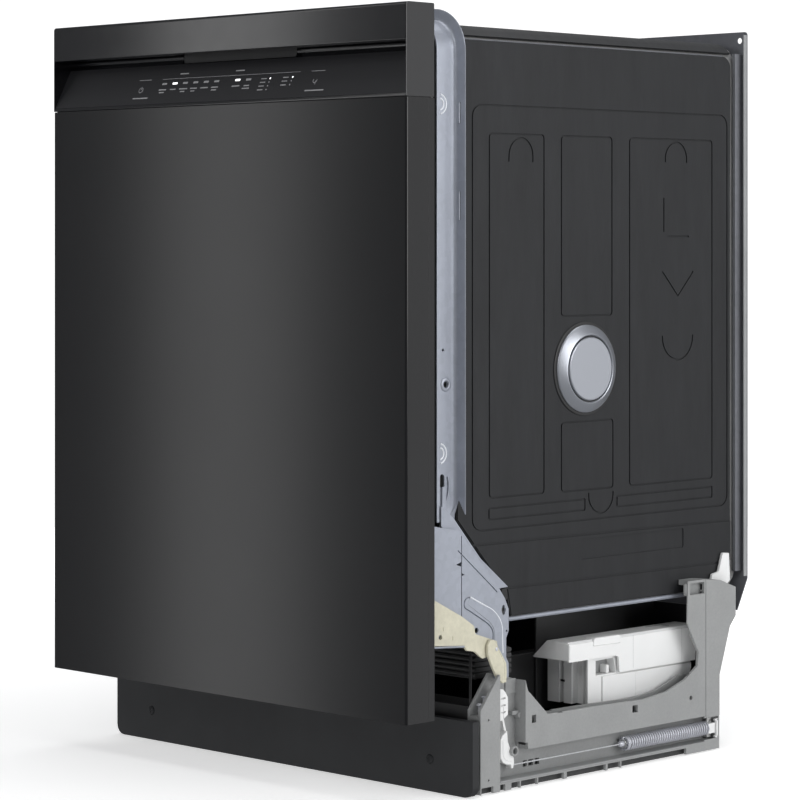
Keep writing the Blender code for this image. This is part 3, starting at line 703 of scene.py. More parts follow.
def coil_tree():
    """A close-wound spring along its own Z axis."""
    inputs = [
        ("Turns", "Float"), ("Radius", "Float"), ("Wire", "Float"), ("Length", "Float"),
        ("Finish", "Material"),
    ]
    tree, entry, leave = new_tree("coil_spring", inputs)
    link = tree.links.new
    spiral = tree.nodes.new("GeometryNodeCurveSpiral")
    spiral.inputs["Resolution"].default_value = 14
    section = tree.nodes.new("GeometryNodeCurvePrimitiveCircle")
    section.inputs["Resolution"].default_value = 7
    skin = tree.nodes.new("GeometryNodeCurveToMesh")
    skin.inputs["Fill Caps"].default_value = True
    link(entry.outputs["Turns"], spiral.inputs["Rotations"])
    link(entry.outputs["Radius"], spiral.inputs["Start Radius"])
    link(entry.outputs["Radius"], spiral.inputs["End Radius"])
    link(entry.outputs["Length"], spiral.inputs["Height"])
    link(entry.outputs["Wire"], section.inputs["Radius"])
    link(spiral.outputs["Curve"], skin.inputs["Curve"])
    link(section.outputs["Curve"], skin.inputs["Profile Curve"])
    return end_tree(tree, entry, leave, skin.outputs["Mesh"])


SWEPT = swept_tree()
ROW = row_tree()
COIL = coil_tree()


def run_tree(mesh, tree, values):
    """Runs a tree on a mesh and gives back the plain mesh that it makes, as a bmesh."""
    carrier = bpy.data.objects.new("carrier", mesh)
    bpy.context.scene.collection.objects.link(carrier)
    step = carrier.modifiers.new("tree", "NODES")
    step.node_group = tree
    for item in tree.interface.items_tree:
        if item.in_out == "INPUT" and item.name in values:
            step[item.identifier] = values[item.name]
    made = evaluated_mesh(carrier)
    carrier.modifiers.clear()
    bpy.data.objects.remove(carrier)
    bpy.data.meshes.remove(mesh)
    shape = bmesh.new()
    shape.from_mesh(made)
    bpy.data.meshes.remove(made)
    return shape


def mesh_of(shape):
    mesh = bpy.data.meshes.new("piece")
    shape.to_mesh(mesh)
    shape.free()
    return mesh


def swept(paths, radius, finish, sides=10, closed=False):
    """Round bars along paths of 3D points."""
    mesh = bpy.data.meshes.new("paths")
    points, edges = [], []
    for path in paths:
        start = len(points)
        points += [mm(*point) for point in path]
        edges += [(start + i, start + i + 1) for i in range(len(path) - 1)]
        if closed:
            edges.append((start + len(path) - 1, start))
    mesh.from_pydata(points, edges, [])
    values = {"Radius": mm(radius), "Sides": sides, "Finish": finish}
    return run_tree(mesh, SWEPT, values)


def in_row(shape, count, step, finish):
    return run_tree(mesh_of(shape), ROW, {"Count": count, "Step": tuple(mm(*step)), "Finish": finish})


def coil(turns, radius, wire, length, finish):
    values = {
        "Turns": float(turns), "Radius": mm(radius), "Wire": mm(wire), "Length": mm(length), "Finish": finish,
    }
    return run_tree(bpy.data.meshes.new("start"), COIL, values)


def moved(shape, place=(0, 0, 0), turn=None):
    matrix = Matrix.Translation(mm(*place))
    if turn is not None:
        matrix = matrix @ turn
    transform(shape, matrix)
    return shape


def rounded_path(points, radius, steps=5):
    """A 3D path whose corners are rounded."""
    result = [points[0]]
    for before, corner, after in zip(points, points[1:], points[2:]):
        here = Vector(corner)
        back = Vector(before) - here
        ahead = Vector(after) - here
        reach = min(radius, back.length / 2.2, ahead.length / 2.2)
        first = here + back.normalized() * reach
        last = here + ahead.normalized() * reach
        for i in range(steps + 1):
            t = i / steps
            result.append(tuple(first * (1 - t) ** 2 + here * 2 * t * (1 - t) + last * t * t))
    result.append(points[-1])
    return result


def refined(node, finish, body, soften=0.5, steps=2, smooth=38, extra=None, merge=True):
    """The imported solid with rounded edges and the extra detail, which stands for its node.

    merge=False is for a ring, whose flat front face would close over the mouth in it.
    """
    shape = bmesh.new()
    shape.from_mesh(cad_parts[node].data)
    weld(shape)
    if merge:
        join_flat_faces(shape)
    if extra:
        shape = extra(shape)
    made = settle("fine_" + node, shape, finish, body, soften=soften, steps=steps, smooth=smooth)
    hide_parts(node)


def round_loop(radius, count, x, y, z):
    """Points of a circle that faces along Y."""
    turns = [2 * pi * i / count for i in range(count)]
    return [(x + radius * cos(turn), y, z + radius * sin(turn)) for turn in turns]


def flat_path(points, radius, steps=5):
    """A (Y, Z) path whose corners are rounded."""
    return [(y, z) for _, y, z in rounded_path([(0.0, y, z) for y, z in points], radius, steps)]


def flat_3d(points, x):
    return [(x, y, z) for y, z in points]


# Door and console


def make_door_panel():
    """Wrapped steel front: rounded front edges, a folded return at the back and a folded bottom."""
    outer = (
        [(-299.0, -257.2)]
        + arc((-296.4, -297.4), 2.6, 180, 270, 5)
        + arc((296.4, -297.4), 2.6, 270, 360, 5)
    )
    outer.append((299.0, -257.2))
    inner = [(281.0, -257.2), (281.0, -258.6), (297.6, -258.6)]
    inner += arc((296.0, -297.0), 1.6, 360, 270, 4) + arc((-296.0, -297.0), 1.6, 270, 180, 4)
    inner += [(-297.6, -258.6), (-281.0, -258.6), (-281.0, -257.2)]
    skin = sheet_shape("XY", [outer + inner], 91.5, 758.4)
    bottom = box_shape((-298.4, 298.4), (-299.2, -259.5), (91.5, 93.0))
    shell = join_shapes(skin, bottom)
    made = settle("door_skin", shell, DOOR_ENAMEL, "door", soften=0.45, steps=2)
    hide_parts("door_panel")
    seam = box_shape((298.7, 299.06), (-266.4, -265.8), (96, 757))
    settle("door_side_seam", seam, INSIDE_BLACK, "door")


def fascia_profile():
    """The console in side view: foot, slanted face, underside of the bar and rounded bar."""
    front = [(-257.2, 759.2), (-299.6, 759.2), (-300.0, 759.6), (-299.8, 760.6)]
    slope = [(-298.0, 764.6), (-272.4, 814.4)]
    root = arc((-270.6, 816.6), 2.6, 225, 90, 4)
    bar = [(-298.4, 819.2)] + arc((-298.6, 820.6), 1.4, 270, 180, 3)
    top = arc((-296.4, 856.3), 3.6, 180, 90, 6)
    rear = arc((-258.8, 858.4), 1.5, 90, 0, 3)
    return front + slope + root + bar + top + rear


def make_fascia():
    """Console and pocket handle: the moulding, its two end cheeks, its face and the pocket's lining."""
    body = sheet_shape("YZ", [fascia_profile()], -297.6, 297.6)
    hollow = sheet_shape(
        "YZ", [[(-250, 755), (-294.0, 755), (-266.5, 815.5), (-263.5, 856.0), (-250, 856.0)]], -291.6, 291.6
    )
    pocket = box_shape((-92, 100), (-291, -271), (810, 845))
    body = cut_shape(body, hollow, pocket)
    moulding = settle(
        "console_moulding", body, CONSOLE_BLACK, "door", soften=0.35, steps=2,
    )
    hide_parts("control_fascia")
    cheek = [(-257.2, 759.2)] + arc((-297.6, 761.6), 2.4, 270, 180, 4)[:1]
    cheek += [(-299.8, 759.2), (-300.0, 760.0), (-300.0, 819.2)] + arc((-296.4, 856.3), 3.6, 180, 90, 6)
    cheek += arc((-258.8, 858.4), 1.5, 90, 0, 3)
    for side, name in SIDES:
        end = sheet_shape("YZ", [cheek], 297.6, 299.0)
        settle(
            "console_cheek_" + name, end, CONSOLE_BLACK, "door", side, soften=0.5, steps=2,
        )
    slope = [(-299.0, 763.0), (-298.02, 764.8), (-275.2, 809.2), (-274.9, 809.0), (-297.6, 763.2)]
    face = lofted_shape([flat_3d(slope, x) for x in (-297.5, 297.5)])
    settle("console_face", face, CONSOLE_FACE, "door")
    lining = merged(
        box_shape((-90.5, 98.5), (-289.6, -272.4), (843.2, 844.9)),
        box_shape((-91.7, 99.7), (-272.6, -271.1), (806.0, 844.0)),
        box_shape((-297.2, 297.2), (-296.4, -262.0), (757.0, 760.4)),
    )
    settle("pocket_roof", lining, INSIDE_BLACK, "door", soften=0.4)


SLOPE_FOOT = (-298.0, 764.6)
SLOPE_HEAD = (-272.4, 814.4)
SLOPE_LEAN = atan2(SLOPE_HEAD[0] - SLOPE_FOOT[0], SLOPE_HEAD[1] - SLOPE_FOOT[1])
PRINT_DEPTH = 0.12


def on_console(loop, x, z):
    """An outline drawn round zero, as a thin print on the slanted console at height z."""
    shape = sheet_shape("XZ", [loop], -PRINT_DEPTH, PRINT_DEPTH)
    share = (z - SLOPE_FOOT[1]) / (SLOPE_HEAD[1] - SLOPE_FOOT[1])
    y = SLOPE_FOOT[0] + (SLOPE_HEAD[0] - SLOPE_FOOT[0]) * share
    return moved(shape, (x, y, z), Matrix.Rotation(-SLOPE_LEAN, 4, "X"))


def console_mark(x, z, width, height, corner=0.3):
    """A printed tablet."""
    far = (width / 2, height / 2)
    return on_console(rounded_box((-far[0], -far[1]), far, min(corner, height / 2.1), 3), x, z)


def console_ring(x, z, radius, width, gap):
    """A printed ring, open at its top by twice the gap in degrees."""
    return on_console(groove(arc((0, 0), radius, 90 + gap, 450 - gap, 20), width), x, z)


RULES = (
    (-147.2, 792.2, 22.0, 0.7), (0.7, 792.2, 234.6, 0.5), (146.7, 792.2, 22.0, 0.7),
    (-144.4, 770.6, 27.0, 1.5), (151.3, 770.2, 30.0, 1.5), (-81.0, 797.6, 15.0, 1.4),
    (15.1, 797.6, 15.0, 1.4), (-148.7, 782.6, 0.9, 4.4),
)


def make_console_marks():
    """Generic marks: rules, key symbols, lamp windows and plain bars where the words would be."""
    print_marks = [console_mark(*rule) for rule in RULES]
    print_marks.append(console_ring(-148.7, 780.4, 3.3, 0.8, gap=28))
    print_marks.append(console_ring(147.0, 781.4, 2.9, 0.8, gap=60))
    print_marks.append(console_mark(148.6, 779.0, 0.8, 5.0))
    for x, wide in (
        (-109.7, 13), (-91.3, 10), (-73.0, 14), (-55.0, 12), (-36.7, 13), (-18.6, 12), (17.0, 13), (35.4, 9),
    ):
        print_marks.append(console_mark(x, 779.6, wide, 1.5))
    for x, wide in ((-109.7, 9), (-73.0, 8), (-18.6, 9), (35.4, 12), (-55.0, 7)):
        print_marks.append(console_mark(x, 776.4, wide, 1.3))
    for x, heights in ((61.0, (786.5, 782.3, 778.0, 773.7)), (97.0, (786.6, 782.4, 778.0))):
        for z in heights:
            print_marks.append(console_mark(x, z, 9.0, 1.3))
    settle("console_print", merged(*print_marks), PRINT_GREY, "door")
    unlit = [console_mark(x, 786.5, 8.4, 2.6, 0.6) for x in (-109.7, -73.0, -55.0, -36.7, -18.6, 35.4)]
    settle("console_windows", merged(*unlit), PRINT_GREY, "door")
    lit = [console_mark(-91.3, 786.5, 8.4, 2.6, 0.6), console_mark(17.0, 786.6, 8.4, 2.6, 0.6)]
    lit += [console_mark(71.5, 786.5, 2.2, 2.2, 1.0), console_mark(108.2, 786.6, 2.2, 2.2, 1.0)]
    settle("console_lamps", merged(*lit), LIT_WHITE, "door")
    dots = [console_mark(71.5, z, 1.8, 1.8, 0.8) for z in (782.3, 778.0, 773.7)]
    dots += [console_mark(108.0, z, 1.8, 1.8, 0.8) for z in (782.4, 778.0)]
    settle("console_dots", merged(*dots), PRINT_GREY, "door")


# Kick plate and feet


def make_kick_plate():
    """The kick plate and its two domed screws with a cross slot."""
    refined("toe_kick", KICK_BLACK, "root", soften=0.7, steps=3)
    dome = [(0, -201.6), (2.4, -201.5), (4.2, -200.9), (4.9, -200.1), (4.9, -199.4)]
    shank = [(2.6, -199.2), (2.6, -188), (0, -187)]
    for number, x in enumerate((-236.0, 236.0), start=1):
        head = turned_shape("Y", (x, 0, 35.5), dome + shank, 28)
        slots = [box_shape((x - 2.8, x + 2.8), (-203, -200.9), (35.0, 36.0))]
        slots.append(box_shape((x - 0.5, x + 0.5), (-203, -200.9), (32.7, 38.3)))
        screw = settle(f"kick_screw_{number}", cut_shape(head, *slots), KICK_BLACK, "root", smooth=30)
        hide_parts(f"toe_kick_screw_{number}")


# Tub, collar and mats


COLLAR_CORNER = 29.7


def collar_station(direction, corner, stretch, foot=None):
    """The collar's section at one place of its path: (outward distance, Y) pairs turned to 3D."""
    section = [(0.0, -229.4), (0.6, -230.0), (1.8, -230.0), (2.4, -229.4), (2.4, -213.0), (2.5, -209.5)]
    section += [(3.1, -206.2), (4.3, -203.9), (6.2, -202.7), (8.6, -202.5), (16.6, -202.5), (17.8, -202.3)]
    section += [(18.3, -201.8), (18.0, -201.1), (16.6, -201.0), (8.0, -201.0), (5.0, -201.6), (2.4, -203.2)]
    section += [(0.8, -206.0), (0.2, -209.5), (0.0, -213.0)]
    result = []
    for out, y in section:
        reach = out if out < 2.5 else 2.5 + (out - 2.5) * stretch
        z = corner[1] + direction[1] * (COLLAR_CORNER + reach)
        if foot is not None:
            z = foot if out < 3.4 else 331.6 - (out - 3.4) * 1.6
        result.append((corner[0] + direction[0] * (COLLAR_CORNER + reach), y, z))
    return result


def make_collar():
    """Galvanised frame round the mouth: a wall, a soft roll and a flange with a turned edge."""
    centre_x, centre_z = 273.7 - COLLAR_CORNER, 842.7 - COLLAR_CORNER
    stations = [collar_station((1, 0), (centre_x, 0), 1.0, foot=300.0)]
    stations += [collar_station((1, 0), (centre_x, z), 1.0) for z in (340, 500, 660, 790)]
    turns = 14
    for start, corner in ((0, centre_x), (pi / 2, -centre_x)):
        for i in range(turns + 1):
            angle = start + pi / 2 * i / turns
            stretch = 1.0 - 0.094 * sin(angle)
            stations.append(collar_station((cos(angle), sin(angle)), (corner, centre_z), stretch))
    stations += [collar_station((-1, 0), (-centre_x, z), 1.0) for z in (790, 660, 500, 340)]
    stations.append(collar_station((-1, 0), (-centre_x, 0), 1.0, foot=300.0))
    shape = lofted_shape(stations)
    cutters = []
    for sign in (1, -1):
        for low, high in ((628, 659), (733, 756)):
            cutters.append(box_shape((sign * 282.6, sign * 285.0), (-206, -198), (low, high)))
        cutters.append(tube_shape("X", (sign * 275, -216.6, 449.1), 3.6, 12))
        cutters.append(tube_shape("X", (sign * 275, -220.5, 486.7), 1.7, 12, sides=14))
        cutters.append(
            sheet_shape("YZ", [rounded_box((-225.5, 337.0), (-218.5, 352.0), 3.2)], sign * 265, sign * 285)
        )
    collar = settle(
        "fine_collar", cut_shape(shape, *cutters), GALVANISED, "root", smooth=50,
    )
    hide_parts("front_collar")
    for side, name in SIDES:
        arcs = []
        for z in (374.5, 753.5):
            for radius in (10.8, 6.6):
                arcs.append(flat_3d(arc((-226.3, z), radius, -82, 82, 18), 275.75))
        # The embossed rings take the lighter zinc, a painted highlight on their ridges.
        embossing = swept(arcs, 1.1, GALVANISED, sides=8)
        lip = [(3.6, 275.0), (3.9, 276.9), (5.2, 277.4), (7.4, 276.9), (8.4, 275.6), (8.4, 275.0)]
        eye = turned_shape("X", (0, -216.6, 449.1), lip, 28)
        settle("collar_embossing_highlight_" + name, embossing, ZINC_PAINTED_HIGHLIGHT, "root", side, smooth=60)
        settle("collar_eye_" + name, bridge_band(eye), GALVANISED, "root", side, smooth=60)
        tab = [
            (-224.2, 312.0), (-218.8, 314.0), (-217.4, 322.0), (-217.6, 335.0), (-220.0, 338.6),
            (-224.2, 338.2),
        ]
        bent = sheet_shape("YZ", [tab], 276.4, 278.6)
        settle("latch_tab_" + name, bent, GALVANISED, "root", side, soften=0.8, steps=3)
        lip = [
            (277.0, -214.2, 349.0), (277.2, -212.8, 343.0), (277.2, -212.8, 334.0), (277.0, -216.0, 323.0),
            (276.8, -219.0, 316.0),
        ]
        settle(
            "latch_lip_" + name, swept([rounded_path(lip, 6)], 0.9, GALVANISED, sides=8), GALVANISED, "root",
            side, smooth=60,
        )
        marks = sheet_shape("YZ", [rounded_box((-222.4, 303.2), (-220.6, 310.4), 0.9, 4)], 276.0, 276.25)
        settle("collar_mark_" + name, marks, INSIDE_BLACK, "root", side)
        # A black plate behind the latch hole is painted shade.
        dark = sheet_shape("YZ", [rounded_box((-226.2, 336.0), (-217.8, 353.0), 3.6)], 271.0, 272.6)
        settle("latch_hole_painted_shade_" + name, dark, INSIDE_BLACK, "root", side)
        # Black discs behind the two round holes are painted shade.
        hollows = merged(
            tube_shape("X", (271.4, -216.6, 449.1), 5.0, 1.6),
            tube_shape("X", (271.4, -220.5, 486.7), 3.0, 1.6),
        )
        settle("collar_hole_painted_shade_" + name, hollows, INSIDE_BLACK, "root", side)


def bridge_band(shape):
    """Closes a turned band by joining its first and last rings."""
    open_edges = [edge for edge in shape.edges if edge.is_boundary]
    bmesh.ops.bridge_loops(shape, edges=open_edges)
    return shape


MAT_LINE = 2.0
MAT_FRAMES = (
    ((-176.4, 285.5), (270.3, 755.6), 14), ((-149.2, 320.5), (-57.6, 724.5), 5),
    ((-30.2, 518.5), (59.0, 724.5), 5), ((-30.2, 319.7), (60.7, 399.9), 5),
    ((88.3, 319.7), (241.7, 724.8), 5), ((-149.8, 296.8), (12.0, 311.0), 2),
    ((66.0, 296.8), (241.7, 311.0), 2),
)


def mat_grooves():
    """Loops of the pressed lines in a side mat, as (Y, Z): frames one line wide, then open signs."""
    loops = []
    for low, high, corner in MAT_FRAMES:
        inner_low = (low[0] + MAT_LINE, low[1] + MAT_LINE)
        inner_high = (high[0] - MAT_LINE, high[1] - MAT_LINE)
        loops.append(rounded_box(low, high, corner))
        loops.append(rounded_box(inner_low, inner_high, max(corner - MAT_LINE, 0.5)))
    open_lines = [
        [(-116.6, 693.0)] + arc((-96.8, 700.0), 19.6, 180, 0, 14) + [(-77.2, 693.0)],
        [(17.4, 316.5)] + arc((38.6, 313.6), 21.2, 180, 360, 14) + [(59.8, 316.5)],
        [(154.0, 697.0)] + arc((173.4, 701.0), 19.6, 180, 0, 14) + [(193.0, 697.0)],
        [(151.1, 655.0), (151.1, 615.0)],
        [(158.4, 609.6), (197.0, 609.6)],
        [(148.3, 568.2), (176.8, 539.4), (205.1, 568.2)],
        [(148.3, 493.0)] + arc((176.2, 492.2), 28.0, 180, 360, 14) + [(204.3, 493.0)],
    ]
    for path in open_lines:
        loops.append(groove(path, 2.2))
    return loops


def make_side_mats():
    """Bitumen mat on each side of the tub: a backing, a pressed outer layer and the lower skirt."""
    edge = [(-199.0, 300.0), (-120.0, 215.0), (-112.0, 188.0), (255.0, 188.0)]
    edge += arc((267, 200), 10, 270, 360, 5) + arc((263, 812), 14, 0, 90, 6) + [(-199.0, 826.0)]
    upper = (
        [(-198.2, 301.0), (-172.0, 272.6), (272.4, 269.0)]
        + arc((262.2, 811.2), 14, 0, 90, 6)
        + [(-198.2, 825.2)]
    )
    lower = [(-169.6, 269.8), (-120.6, 216.8), (-118.6, 221.2), (276.4, 219.2), (276.4, 266.4)]
    pocket = rounded_box((4.5, 241.5), (187.5, 264.2), 2.5)
    skirt = (
        [(-117.6, 218.4), (-111.4, 188.8), (255.0, 188.8)]
        + arc((266.4, 199.8), 10, 270, 360, 5)
        + [(276.4, 216.8)]
    )
    for side, name in SIDES:
        backing = sheet_shape("YZ", [edge], 272.35, 275.6)
        made = settle("mat_backing_" + name, backing, SOUND_MAT, "root", side, soften=0.4)
        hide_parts("side_mat_" + name)
        loops = [upper] + mat_grooves()
        skin = sheet_shape("YZ", loops, 275.4, 276.9)
        settle("mat_pressing_" + name, skin, SOUND_MAT, "root", side, soften=0.35, steps=2)
        step = sheet_shape("YZ", [lower, pocket], 275.4, 276.7)
        settle("mat_step_" + name, step, SOUND_MAT, "root", side, soften=0.35)
        skirting = sheet_shape("YZ", [skirt], 275.4, 276.5)
        settle("mat_skirt_" + name, skirting, SOUND_MAT, "root", side, soften=0.35)
        # A grey steel bar along the mat's top edge is a painted highlight on that edge.
        lip = swept([[(276.2, -197.5, 826.1), (276.2, 262.0, 826.1)]], 0.8, GALVANISED, sides=8)
        settle("mat_top_edge_highlight_" + name, lip, REAR_STEEL, "root", side)


def make_tub_rails():
    """The steel rail under each side mat and the bracket at its front end."""
    foot = [(-118.0, 187.5), (-100, 187.5), (-98.0, 196.0), (-108.0, 212.0), (-121.0, 212.0)]
    for side, name in SIDES:
        rail = swept(
            [rounded_path([(274.4, -116.0, 184.9), (274.4, 214.0, 184.9)], 5)], 2.55, GALVANISED, sides=14,
        )
        settle("tub_rail_" + name, rail, GALVANISED, "root", side, smooth=70)
        bracket = sheet_shape("YZ", [foot], 270.4, 272.2)
        settle("rail_bracket_" + name, bracket, INSIDE_BLACK, "root", side, soften=0.5)


def cap_turning(profile, sides=96):
    return turned_shape("X", CAP_CENTRE, profile, sides)


def make_vent_cap():
    """Spun cap: a bevelled ring, a flat disc, and a black ring of painted shade in the gap between them."""
    bevel = [(50.0, 279.6), (48.8, 281.2), (40.6, 285.6), (39.2, 286.0), (38.2, 285.4), (37.6, 283.4)]
    ring = cap_turning([(0, 278.5), (50.0, 278.5), *bevel, (0, 283.4)])
    made = settle("cap_ring", ring, CAP_METAL, "root", smooth=25)
    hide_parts("vent_cap")
    disc = cap_turning([(0, 283.5), (35.6, 283.5), (36.3, 284.6), (36.0, 285.9), (35.0, 286.5), (0, 286.5)])
    settle("cap_disc", disc, CAP_METAL, "root", smooth=25)
    # The black ring in the gap is painted shade.
    gap = cap_turning([(38.0, 283.42), (36.0, 283.42), (36.0, 283.9), (38.0, 283.9), (38.0, 283.42)])
    settle("cap_gap_painted_shade", gap, INSIDE_BLACK, "root")
    seat = cap_turning([(0, 277.3), (52.4, 277.3), (53.6, 277.9), (52.4, 278.4), (0, 278.4)], 72)
    settle("cap_seat", seat, INSIDE_BLACK, "root")


def make_rear_panel():
    """Rear sheet with a folded lip on each upright edge, a hole in each top corner and stiffeners."""
    outline = [(-284.5, 196), (-268.9, 156), (268.9, 156), (284.5, 196)]
    outline += arc((280.5, 853), 4, 0, 90, 5) + arc((-280.5, 853), 4, 90, 180, 5)
    holes = [circle((x, 846.5), 3.6, 20) for x in (-273.0, 273.0)]
    panel = sheet_shape("XZ", [outline] + holes, 298.5, 300.0)
    made = settle("rear_sheet", panel, REAR_STEEL, "root", soften=0.4)
    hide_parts("rear_panel")
    fold = [(281.2, 298.4), (281.2, 296.6), (283.0, 292.6), (284.5, 292.6), (284.5, 298.4)]
    corner = [(271.6, 298.3), (271.6, 286.0), (274.0, 284.0), (278.2, 284.0), (278.2, 298.3)]
    for side, name in SIDES:
        lip = sheet_shape("XY", [fold], 199, 853)
        settle("rear_lip_" + name, lip, POST_GREY, "root", side, soften=0.3)
        strip = sheet_shape("XY", [corner], 205, 830)
        settle("rear_corner_" + name, strip, REAR_STEEL, "root", side, soften=0.8, steps=3)
    ribs = [[(-220, 300.0, z), (220, 300.0, z)] for z in (300, 470, 640, 770)]
    settle("rear_stiffeners", swept(ribs, 5.0, REAR_STEEL, sides=12), REAR_STEEL, "root", smooth=60)


def make_floor():
    """A round pale floor that grows lighter away from the machine."""
    floor = bpy.data.objects.new("floor", bpy.data.meshes.new("floor"))
    shape = bmesh.new()
    bmesh.ops.create_circle(shape, cap_ends=True, segments=96, radius=2.7)
    bmesh.ops.transform(shape, matrix=Matrix.Translation((0, 0, -0.0006)), verts=shape.verts)
    shape.to_mesh(floor.data)
    shape.free()
    floor.data.materials.append(FLOOR)
    bpy.context.scene.collection.objects.link(floor)
    floor.visible_glossy = False
    floor.visible_shadow = False


# Base frame, its service bay and the power module


def raised_bead(path, width, height, x):
    """A pressed channel along a path in a side face: flat on top, with sloping flanks."""
    half, crown = width / 2, width / 2 - height * 0.9
    section = [(-half, -0.3), (-half, 0.0), (-crown, height), (crown, height), (half, 0.0), (half, -0.3)]
    stations = []
    for i, (y, z) in enumerate(path):
        across = across_path(path, i)
        taper = 0.45 if i in (0, len(path) - 1) else 1.0
        station = []
        for off, up in section:
            lift = up * taper if up > 0 else up
            station.append((x + lift, y + across[0] * off * taper, z + across[1] * off * taper))
        stations.append(station)
    return lofted_shape(stations)


RECESS_HEAD = [
    (-112.5, 150.0), (-111.5, 119.0), (-109.8, 118.6), (-105.6, 104.9), (-96.4, 102.7), (-88.9, 103.6),
    (-57.5, 76.2), (-50.0, 76.0), (-50.0, 150.0),
]
LEDGE_HOLLOWS = (
    (-182.0, -163.0), (-152.0, -144.0), (-134.0, -120.5), (-118.5, -92.0), (-90.0, -47.5), (-42.5, 24.0),
    (27.5, 49.5), (51.5, 168.0),
)


def cut_base_side(shape, side):
    """Slots, holes and screw dimples in the panel, hollows under the ledge, and the open front recess."""
    def box(x, y, z):
        return box_shape((side * x[0], side * x[1]), y, z)

    tools = [
        box((290, 299), (-100.4, -93.4), (70.0, 78.8)),
        box((290, 299), (71.0, 80.4), (61.0, 69.6)),
        sheet_shape("YZ", [rounded_box((174.0, 64.0), (179.4, 69.2), 2.4, 3)], side * 290, side * 299),
        tube_shape("X", (side * 297, -170.6, 81.6), 1.3, 3.0, 12),
        tube_shape("X", (side * 297, -170.6, 15.9), 1.3, 3.0, 12),
    ]
    tools += [box((276, 282), y, (19.0, 26.0)) for y in ((-97.5, -91.0), (-88.5, -80.5), (-78.0, -70.5))]
    tools += [box((285.5, 299), y, (-1.0, 8.4)) for y in LEDGE_HOLLOWS]
    tools += [
        sheet_shape("YZ", [RECESS_HEAD], side * 274, side * 299),
        box((281.0, 299.5), (-119.8, -107.4), (34.5, 49.5)),
        box((281.0, 299.5), (-108.0, -104.4), (34.5, 42.0)),
        box((274.0, 295.4), (168.0, 177.5), (92.0, 206.0)),
        box((285.0, 299.5), (199.0, 227.8), (13.6, 39.4)),
        box((288.0, 299.0), (175.0, 201.5), (187.5, 201.0)),
    ]
    return cut_shape(shape, *tools)


def make_base_sides():
    """Side frames with the ribs and the hollow guide pin of the front recess."""
    pin = [(0, 280.4), (6.0, 280.4), (5.6, 295.0), (5.2, 295.8), (3.9, 295.8), (3.5, 295.2), (3.4, 283.0)]
    tall_screw = [(0, 3.6), (2.0, 3.4), (3.4, 2.0), (3.4, 1.0), (1.6, 0.8), (1.6, -6), (0, -6)]
    short_screw = [(0, 3.0), (1.6, 2.9), (2.6, 2.0), (2.6, 1.2), (1.3, 1.0), (1.3, -6), (0, -6)]
    for side, name in SIDES:
        refined("base_side_" + name, GREY_PLASTIC, "root", soften=0.35, steps=2,
                extra=lambda shape, s=side: cut_base_side(shape, s))
        ribs = [
            box_shape((280.4, 287.0), (-121.5, -108.0), (80.2, 84.4)),
            tube_shape("X", (285.0, -111.5, 79.4), 3.2, 9.0, 16),
            box_shape((280.4, 284.0), (-110.2, -107.6), (42.0, 103.0)),
            box_shape((280.4, 293.6), (-183.0, -160.0), (82.2, 85.8)),
            box_shape((280.4, 282.0), (-127.6, -110.5), (103.0, 119.6)),
            turned_shape("X", (0, -126.0, 42.0), [*pin, (0, 283.0)], 28),
        ]
        # A dark grey plate behind the hollows under the ledge is painted shade.
        hollows = box_shape((286.6, 288.6), (-183.0, 228.0), (0.3, 9.0))
        settle("ledge_painted_shade_" + name, hollows, PAINTED_SHADE_GREY, "root", side)
        settle(
            "base_ribs_" + name, merged(*ribs), GREY_PLASTIC, "root", side, soften=0.4,
        )
        ledge = [(297.1, y, 11.4) for y in (-152.5, 0.0, 168.0)]
        settle("base_ledge_" + name, swept([ledge], 0.9, POST_GREY, sides=8), POST_GREY, "root", side)
        screws = merged(
            turned_shape("Z", (282.6, -170.0, 95.0), tall_screw, 16),
            turned_shape("Z", (282.4, -163.0, 103.0), short_screw, 16),
        )
        settle("post_screws_" + name, screws, SPRING_STEEL, "root", side, smooth=30)
        make_panel_slots(side, name)
        make_rear_post(side, name)


def make_panel_slots(side, name):
    """What shows in the panel's slots: a white peg, and black plates of painted shade behind the slots."""
    peg = box_shape((289.4, 291.8), (71.6, 76.6), (61.4, 69.2))
    settle("panel_peg_" + name, peg, WHITE_PLASTIC, "root", side, soften=0.8)
    # The black plates behind the slots are painted shade.
    backs = merged(
        box_shape((282.0, 289.2), (-102.0, -92.0), (68.0, 80.0)),
        box_shape((282.0, 289.2), (69.5, 82.0), (59.5, 71.0)),
        box_shape((282.0, 289.2), (172.5, 181.0), (62.5, 70.5)),
    )
    settle("panel_slot_painted_shade_" + name, backs, INSIDE_BLACK, "root", side)


def make_rear_post(side, name):
    """The rear post's pocket and raised face, and the white bracket that holds the rear sheet."""
    pocket = box_shape((288.2, 289.6), (173.5, 203.0), (186.0, 200.4))
    settle("rear_post_pocket_" + name, pocket, GREY_PLASTIC, "root", side)
    column = [(204.0, 40.0), (229.4, 40.0), (229.4, 86.0), (230.2, 201.0), (204.0, 203.6)]
    face = sheet_shape("YZ", [column], 296.6, 297.9)
    settle("rear_post_face_" + name, face, GREY_PLASTIC, "root", side, soften=0.6)
    outline = [(234.0, 198.5), (236.0, 206.0), (248.0, 208.0), (256.0, 230.0), (268.0, 229.0), (270.0, 196.0)]
    outline += [(262.0, 190.0), (240.0, 190.0)]
    bracket = sheet_shape("YZ", [outline], 277.6, 281.8)
    settle("rear_bracket_" + name, bracket, WHITE_PLASTIC, "root", side, soften=1.2, steps=3)


